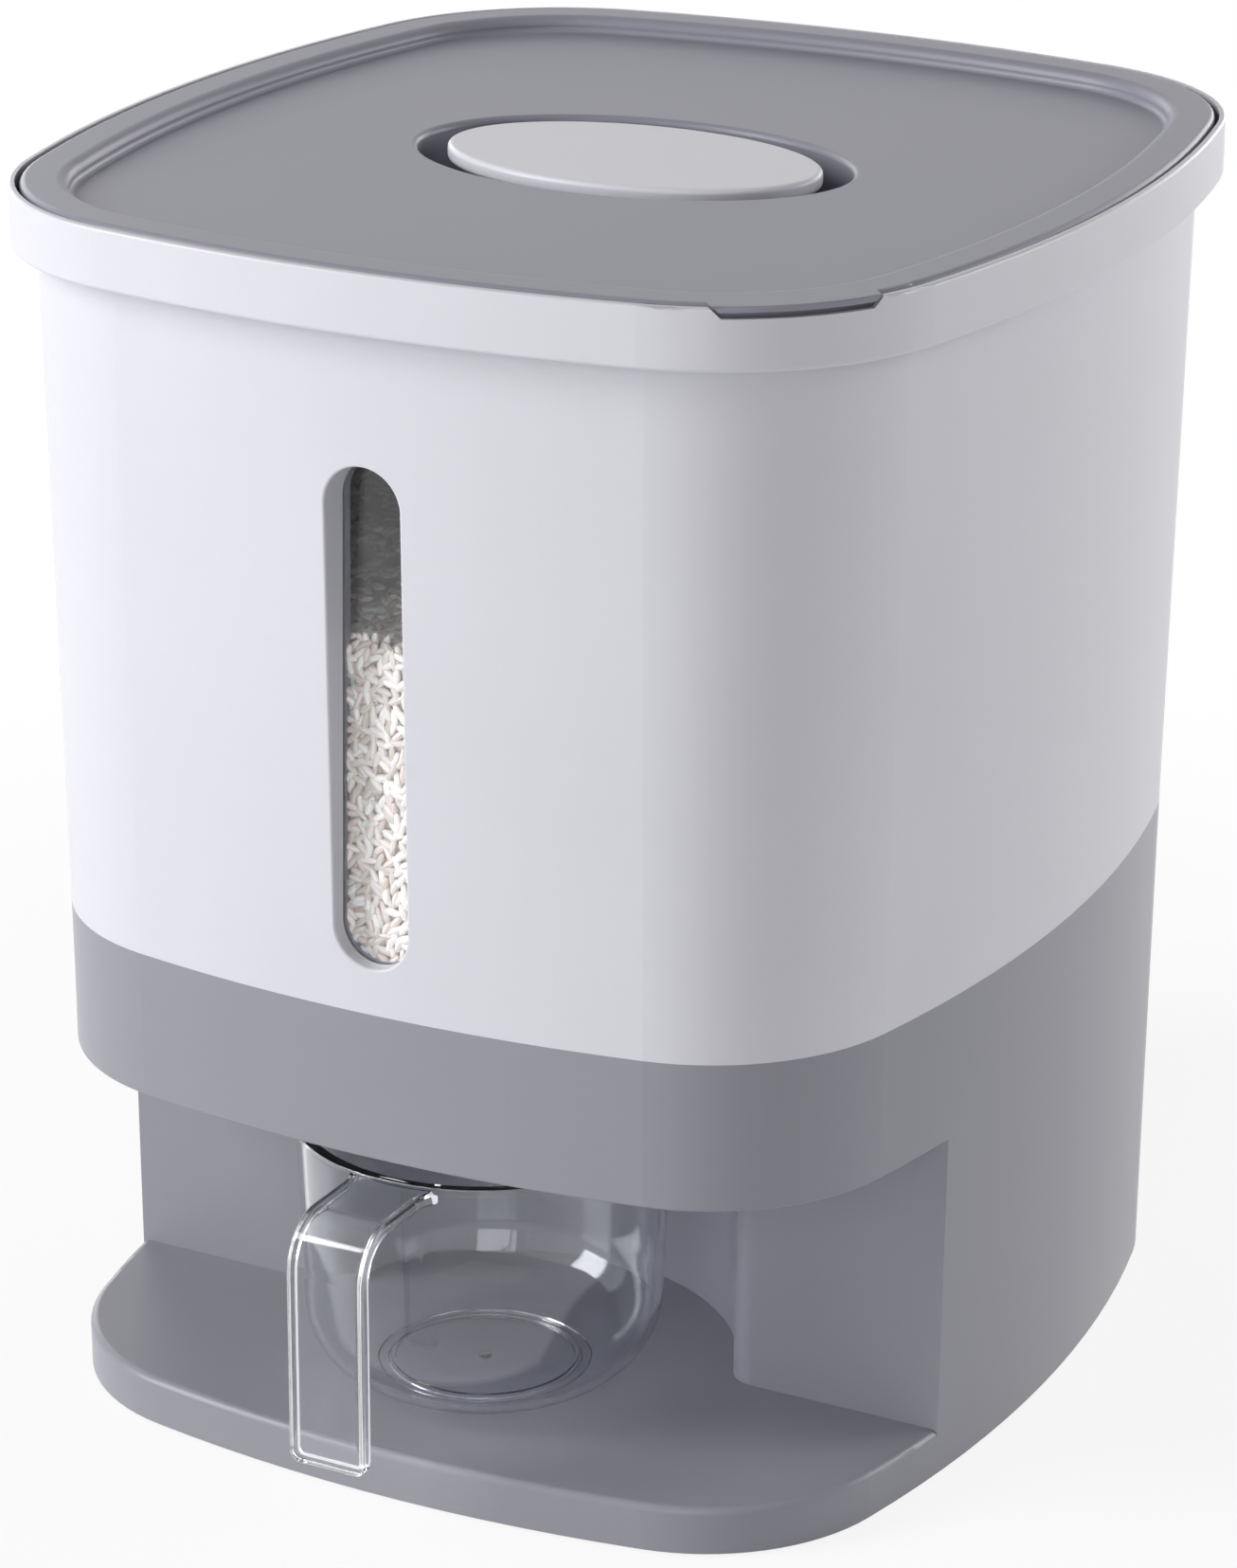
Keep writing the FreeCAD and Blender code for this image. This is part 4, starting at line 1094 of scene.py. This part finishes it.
@dataclass(frozen=True)
class Grains:
    """Grains of rice: their size, how it varies, and how finely they are modelled."""

    length: float = 5.4 * MM
    width: float = 2.1 * MM
    flatness: float = 0.9
    size_spread: float = 0.08
    jitter: float = 0.4 * MM
    near_faces: tuple[int, int] = (8, 6)
    far_faces: tuple[int, int] = (5, 4)

    def add(self, pile: "GrainPile", place: Vector, turn: Matrix, draw: random.Random) -> None:
        """Adds one grain of a drawn size and tone to a pile.

        Args:
            pile: Pile to add to.
            place: Middle of the grain.
            turn: Rotation that takes the Z axis to the grain's length.
            draw: Source of random numbers.
        """
        length = self.length * draw.gauss(1, self.size_spread)
        width = self.width * draw.gauss(1, self.size_spread)
        size = Matrix.Diagonal((width / 2, width / 2 * self.flatness, length / 2, 1))
        pile.add(Matrix.Translation(place) @ turn @ size, draw.random())


@dataclass(frozen=True)
class Hopper:
    """Four slopes that lead to the outlet, as the CAD hopper has them; a rise is a slope's height."""

    top: float = 108.0 * MM
    outlet_half_width: float = 25.0 * MM
    outlet_front: float = -105.0 * MM
    outlet_back: float = -59.0 * MM
    side_rise: float = 64.2 * MM
    back_rise: float = 78.5 * MM
    front_rise: float = 30.0 * MM

    def slopes(self, wall: float, clearance: float) -> list[tuple[Vector, Vector]]:
        """Planes just above the four slopes.

        Args:
            wall: Thickness of the bucket's wall.
            clearance: Height of the planes above the slopes.

        Returns:
            A place on each plane and a normal that points into the slope.
        """
        wall_x, wall_y = OUTLINE.half_width - wall, OUTLINE.half_depth - wall
        half, front, back = self.outlet_half_width, self.outlet_front, self.outlet_back
        slopes = []
        for run, rise, foot, away in ((wall_x - half, self.side_rise, Vector((half, 0, 0)), X_AXIS),
                                      (wall_x - half, self.side_rise, Vector((-half, 0, 0)), -X_AXIS),
                                      (wall_y - back, self.back_rise, Vector((0, back, 0)), Y_AXIS),
                                      (wall_y + front, self.front_rise, Vector((0, front, 0)), -Y_AXIS)):
            slopes.append((foot + Z_AXIS * (self.top + clearance), (away * rise - Z_AXIS * run).normalized()))
        return slopes


@dataclass(frozen=True)
class RiceFill:
    """Rice in the bucket: a body filled to a level, loose grains on top and packed ones behind the window."""

    level: float = 229.0 * MM
    mound: float = 7.0 * MM
    mound_radius: float = 70.0 * MM
    unevenness: float = 2.0 * MM
    unevenness_size: float = 22.0 * MM
    rings: int = 26
    pane: float = 2.0 * MM
    window_half_width: float = 10.5 * MM
    window_foot: float = 6.0 * MM
    retainer: float = 2.5 * MM
    socket_half_width: float = 19.5 * MM
    bucket_wall: float = 2.4 * MM
    bucket_growth: float = 1.4 * MM
    bucket_draft: float = 0.01631
    joint_height: float = 136.2 * MM
    clearance: float = 0.4 * MM
    hopper: Hopper = field(default_factory=Hopper)
    grains: Grains = field(default_factory=Grains)
    layers: tuple[float, ...] = (1.5 * MM, 2.9 * MM, 4.4 * MM)
    column_pitch: float = 1.25
    row_pitch: float = 1.05
    packed_tilt: float = 0.12
    top_throws: int = 7400
    loose_tilt: float = 0.24
    proud_share: float = 0.25
    bed_tone: float = 0.62
    seed: int = 20

    def build(self, palette: Palette) -> list[bpy.types.Object]:
        """Builds the body and both sorts of grains."""
        draw = random.Random(self.seed)
        return [self._body(palette), self._window_grains(palette, draw), self._top_grains(palette, draw)]

    def _height_at(self, place: Vector) -> float:
        """Height of the rice's top over a place.

        Args:
            place: Place in the bucket.

        Returns:
            The height.
        """
        heap = self.mound * math.exp(-(place.xy.length / self.mound_radius) ** 2)
        cell = Vector((place.x, place.y, 0)) / self.unevenness_size
        return self.level + heap + self.unevenness * noise.noise(cell)

    @cached_property
    def pane_box(self) -> tuple[Vector, Vector]:
        """Lowest and highest corner of the leaning pane."""
        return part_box("window_pane")

    @property
    def window_floor(self) -> float:
        """Height at which the body starts to make room for the window's socket."""
        return self.pane_box[0].z - self.window_foot

    def _pane_back(self, height: float) -> float:
        """Where the leaning pane's back face lies.

        Args:
            height: Height to look at.

        Returns:
            The face's place along Y.
        """
        low, high = self.pane_box
        lean = (high.y - self.pane - low.y) / (high.z - low.z)
        return low.y + self.pane + lean * (height - low.z)

    def _growth_at(self, height: float) -> float:
        """Growth of the bucket's inside at a height, less the clearance."""
        outside = self.bucket_growth + self.bucket_draft * (height - self.joint_height)
        return outside - self.bucket_wall - self.clearance

    def _keep_behind_window(self, verts: Iterable[BMVert]) -> None:
        """Moves those vertices behind the window's retainer that lie in front of it.

        Args:
            verts: The vertices.
        """
        for vert in verts:
            behind = self._pane_back(vert.co.z) + self.retainer + self.clearance
            if abs(vert.co.x) < self.socket_half_width and vert.co.y < behind:
                vert.co.y = behind

    def _body(self, palette: Palette) -> bpy.types.Object:
        """Builds the filled body: a block in the bucket, cut by the hopper's four slopes, with an uneven top.

        Args:
            palette: Finishes of the object.

        Returns:
            The body.
        """
        piece = Piece("rice_body")
        mesh = piece.mesh
        tones = mesh.verts.layers.float.new(PolishedRice.attribute)
        ring = OUTLINE.ring(mesh, self._growth_at(self.hopper.top), self.hopper.top + self.clearance)
        bmesh.ops.contextual_create(mesh, geom=ring)
        for height in (self.window_floor, self.window_floor + TOUCHING, self.level):
            ring = OUTLINE.extend(mesh, ring, self._growth_at(height), height)
            if height > self.window_floor:
                self._keep_behind_window({vert for edge in ring for vert in edge.verts})
        self._top(mesh, ring)
        bmesh.ops.recalc_face_normals(mesh, faces=mesh.faces[:])
        for foot, normal in self.hopper.slopes(self.bucket_wall, self.clearance):
            cut = bmesh.ops.bisect_plane(mesh, geom=everything(mesh), dist=CUT_THROUGH, plane_co=foot,
                                         plane_no=normal, clear_outer=True)["geom_cut"]
            bmesh.ops.contextual_create(mesh, geom=[edge for edge in cut if isinstance(edge, BMEdge)])
        for vert in mesh.verts:
            vert[tones] = self.bed_tone
        return piece.finish("base", palette.rice)

    def _top(self, mesh: BMesh, ring: Sequence[BMEdge]) -> None:
        """Closes the body by rings that shrink to the middle and follow the rice's top.

        Args:
            mesh: Mesh of the body.
            ring: Its open upper end.
        """
        for left in range(self.rings, 1, -1):
            verts, ring = extrude_ring(mesh, ring)
            shrink = 1 - 1 / left
            bmesh.ops.scale(mesh, verts=verts, vec=(shrink, shrink, 1))
            for vert in verts:
                vert.co.z = self._height_at(vert.co)
        bmesh.ops.contextual_create(mesh, geom=ring)

    def _window_grains(self, palette: Palette, draw: random.Random) -> bpy.types.Object:
        """Packs grains behind the pane in layers, their lengths nearly level with it.

        Args:
            palette: Finishes of the object.
            draw: Source of random numbers.

        Returns:
            The grains as one piece.
        """
        pile = GrainPile("rice_behind_window", *self.grains.near_faces)
        width, jitter = self.grains.width, self.grains.jitter
        for number, depth in enumerate(self.layers):
            half = self.window_half_width + width * number
            height = self.pane_box[0].z + self.window_foot + width / 2 * number
            while height < self.level + width / 2:
                x = -half + draw.random() * (width * self.column_pitch)
                while x < half:
                    place = Vector((x + draw.gauss(0, jitter), 0, height + draw.gauss(0, jitter)))
                    place.y = self._pane_back(place.z) + depth + draw.random() * jitter
                    tilt = Matrix.Rotation(draw.gauss(0, self.packed_tilt * (1 + number)), 4, "X")
                    turn = Matrix.Rotation(draw.uniform(0, math.pi), 4, "Y") @ tilt
                    self.grains.add(pile, place, turn, draw)
                    x += width * self.column_pitch
                height += width * self.row_pitch
        return pile.finish("base", palette.rice)

    def _top_grains(self, palette: Palette, draw: random.Random) -> bpy.types.Object:
        """Strews loose grains over the top.

        Args:
            palette: Finishes of the object.
            draw: Source of random numbers.

        Returns:
            The grains as one piece.
        """
        pile = GrainPile("rice_on_top", *self.grains.far_faces)
        inside = self._growth_at(self.level) - self.grains.length / 2
        front = self._pane_back(self.level) + self.grains.length
        for _ in range(self.top_throws):
            x, y = draw.uniform(-1, 1) * OUTLINE.half_width, draw.uniform(-1, 1) * OUTLINE.half_depth
            place = Vector((x, y, 0))
            if OUTLINE.growth_of(place) > inside or place.y < front:
                continue
            place.z = self._height_at(place) + self.grains.width * self.proud_share
            level = Matrix.Rotation(QUARTER_TURN + draw.gauss(0, self.loose_tilt), 4, "Y")
            turn = Matrix.Rotation(draw.uniform(0, math.pi), 4, "Z") @ level
            self.grains.add(pile, place, turn, draw)
        return pile.finish("base", palette.rice)


class GrainPile(Piece):
    """Piece made of many grains of one shape."""

    def __init__(self, name: str, sides: int, bands: int) -> None:
        """Starts an empty pile.

        Args:
            name: Name of the piece.
            sides: Number of faces around each grain.
            bands: Number of faces from one end of a grain to the other.
        """
        super().__init__(name)
        shape = bmesh.new()
        for mesh in (self.mesh, shape):
            mesh.verts.layers.float.new(PolishedRice.attribute)
        bmesh.ops.create_uvsphere(shape, u_segments=sides, v_segments=bands, radius=1)
        self.grain = bpy.data.meshes.new(name + "_grain")
        shape.to_mesh(self.grain)
        self.rest = [part for vert in shape.verts for part in vert.co]
        shape.free()

    def add(self, place: Matrix, tone: float) -> None:
        """Adds a grain.

        Args:
            place: Transform of a sphere of radius 1.
            tone: Lightness from 0 to 1.
        """
        self.grain.vertices.foreach_set("co", self.rest)
        self.grain.transform(place)
        tones = [tone] * len(self.grain.vertices)
        self.grain.attributes[PolishedRice.attribute].data.foreach_set("value", tones)
        self.mesh.from_mesh(self.grain)


# ---------------------------------------------------------------- studio


def outwards(azimuth: float, elevation: float) -> Vector:
    """Direction from the object to a place round it.

    Args:
        azimuth: Degrees round from the front, towards the right.
        elevation: Degrees above the level.

    Returns:
        The direction, with a length of 1.
    """
    turn, rise = math.radians(azimuth), math.radians(elevation)
    return Vector((math.sin(turn) * math.cos(rise), -math.cos(turn) * math.cos(rise), math.sin(rise)))


@dataclass(frozen=True)
class Softbox:
    """Rectangular lamp that faces the object; its angles are in degrees and its power in watts."""

    name: str
    azimuth: float
    elevation: float
    distance: float
    size: tuple[float, float]
    power: float
    target: tuple[float, float, float] = (0.0, 0.0, 170 * MM)

    def hang(self) -> None:
        """Adds the lamp, turned towards its target."""
        lamp = bpy.data.lights.new(self.name, "AREA")
        lamp.shape = "RECTANGLE"
        lamp.size, lamp.size_y = self.size
        lamp.energy = self.power
        made = bpy.data.objects.new(self.name, lamp)
        bpy.context.scene.collection.objects.link(made)
        back = outwards(self.azimuth, self.elevation)
        made.location = Vector(self.target) + back * self.distance
        made.rotation_euler = back.to_track_quat("Z", "Y").to_euler()


@dataclass(frozen=True)
class Camera:
    """Camera that looks at the object's middle; its angles are in degrees and its roll in radians."""

    aim: tuple[float, float, float] = (0.0, 0.0, 165 * MM)
    azimuth: float = 27.43
    elevation: float = 20.11
    distance: float = 1400 * MM
    roll: float = 0.0054
    focal_length: float = 119.2
    sensor: float = 36.0
    shift: tuple[float, float] = (-0.0076, -0.0294)

    def place(self) -> None:
        """Adds the camera and makes it the scene's."""
        lens = bpy.data.cameras.new("camera")
        lens.sensor_fit = "AUTO"
        lens.sensor_width = self.sensor
        lens.lens = self.focal_length
        lens.shift_x, lens.shift_y = self.shift
        made = bpy.data.objects.new("camera", lens)
        bpy.context.scene.collection.objects.link(made)
        back = outwards(self.azimuth, self.elevation)
        level = Z_AXIS.cross(back).normalized()
        upright = back.cross(level)
        right = level * math.cos(self.roll) + upright * math.sin(self.roll)
        up = upright * math.cos(self.roll) - level * math.sin(self.roll)
        made.location = Vector(self.aim) + back * self.distance
        made.rotation_euler = Matrix((right, up, back)).transposed().to_euler()
        bpy.context.scene.camera = made


@dataclass(frozen=True)
class Studio:
    """White floor, dim surround, soft lamps and the camera."""

    lamps: tuple[Softbox, ...] = (
        Softbox("key softbox", azimuth=-50, elevation=24, distance=2.1, size=(0.8, 1.9), power=47),
        Softbox("rear softbox", azimuth=130, elevation=12.7, distance=2.0, size=(0.9, 1.2), power=19),
        Softbox("top softbox", azimuth=0, elevation=50, distance=2.0, size=(1.0, 1.0), power=1.5),
        Softbox("front fill", azimuth=20, elevation=12.7, distance=2.0, size=(0.9, 1.2), power=10),
        Softbox("right top fill", azimuth=60, elevation=50, distance=2.0, size=(1.0, 1.0), power=2.1),
        Softbox("left rear fill", azimuth=-125, elevation=12.7, distance=2.0, size=(0.9, 1.2), power=6),
        Softbox("back fill", azimuth=172, elevation=8, distance=2.0, size=(0.9, 1.2), power=14),
    )
    camera: Camera = field(default_factory=Camera)
    surround: float = 0.02
    floor_reach: float = 6.0
    floor_colour: OpaqueColour = (0.86, 0.86, 0.87, 1.0)
    floor_roughness: float = 0.9
    floor_white: float = 0.86
    shadow_reach: tuple[float, float] = (0.22, 0.6)

    def build(self) -> None:
        """Builds everything that isn't the object."""
        self._floor()
        self._world()
        for lamp in self.lamps:
            lamp.hang()
        self.camera.place()
        bpy.context.scene.view_settings.view_transform = "Standard"

    def _floor(self) -> None:
        """Adds the floor."""
        mesh = bmesh.new()
        bmesh.ops.create_grid(mesh, x_segments=1, y_segments=1, size=self.floor_reach)
        data = bpy.data.meshes.new("studio_floor")
        mesh.to_mesh(data)
        mesh.free()
        floor = bpy.data.objects.new("studio_floor", data)
        bpy.context.scene.collection.objects.link(floor)
        data.materials.append(self._floor_paper())

    def _floor_paper(self) -> bpy.types.Material:
        """Builds the floor's finish: seen as white, and less so close to the object, where its shadow is.

        Returns:
            The material.
        """
        surface = Surface("floor paper", Base_Color=self.floor_colour, Roughness=self.floor_roughness)
        near, far = self.shadow_reach
        away = surface.node("ShaderNodeVectorMath", {"operation": "LENGTH"}, {0: surface.place})
        ease = surface.node("ShaderNodeMapRange", {"interpolation_type": "SMOOTHSTEP"},
                            {"Value": away.outputs["Value"], "From Min": near, "From Max": far,
                             "To Min": self.floor_white, "To Max": 1.0})
        surface.cover(surface.seen() * Value(ease.outputs[0]), surface.node("ShaderNodeEmission"))
        return surface.material

    def _world(self) -> None:
        """Sets an even dim surround that is white where it is seen directly, in gloss or through glass."""
        world = bpy.data.worlds.new("studio surround")
        tree = ShaderTree(world)
        strength = self.surround + tree.seen() * (1 - self.surround)
        backdrop = tree.node("ShaderNodeBackground", sockets={"Color": PURE_WHITE, "Strength": strength})
        tree.node("ShaderNodeOutputWorld", sockets={"Surface": backdrop.outputs[0]})
        bpy.context.scene.world = world


# ---------------------------------------------------------------- scene


def dress_cad_nodes(palette: Palette) -> list[bpy.types.Object]:
    """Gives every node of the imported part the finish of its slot.

    Args:
        palette: Finishes of the object.

    Returns:
        The nodes' objects.
    """
    dressed = []
    for part in frame["record"]["subparts"]:
        made = frame["nodes"][part["node"]]
        made.data.materials.clear()
        made.data.materials.append(palette.of(Slot(part["material_slot"])))
        dressed.append(made)
    return dressed


def main() -> None:
    """Builds the scene and reports each piece."""
    logging.basicConfig(level=logging.INFO, format="%(message)s")
    palette = Palette()
    pieces = dress_cad_nodes(palette)
    for assembly in (MeasuringCup(), LidGrip(), RubberFeet(), GateSprings(), RiceFill()):
        pieces.extend(assembly.build(palette))
    for made in pieces:
        log.info("%s: %d faces in %s", made.name, len(made.data.polygons), made.data.materials[0].name)
    Studio().build()


if __name__ == "__main__":
    main()
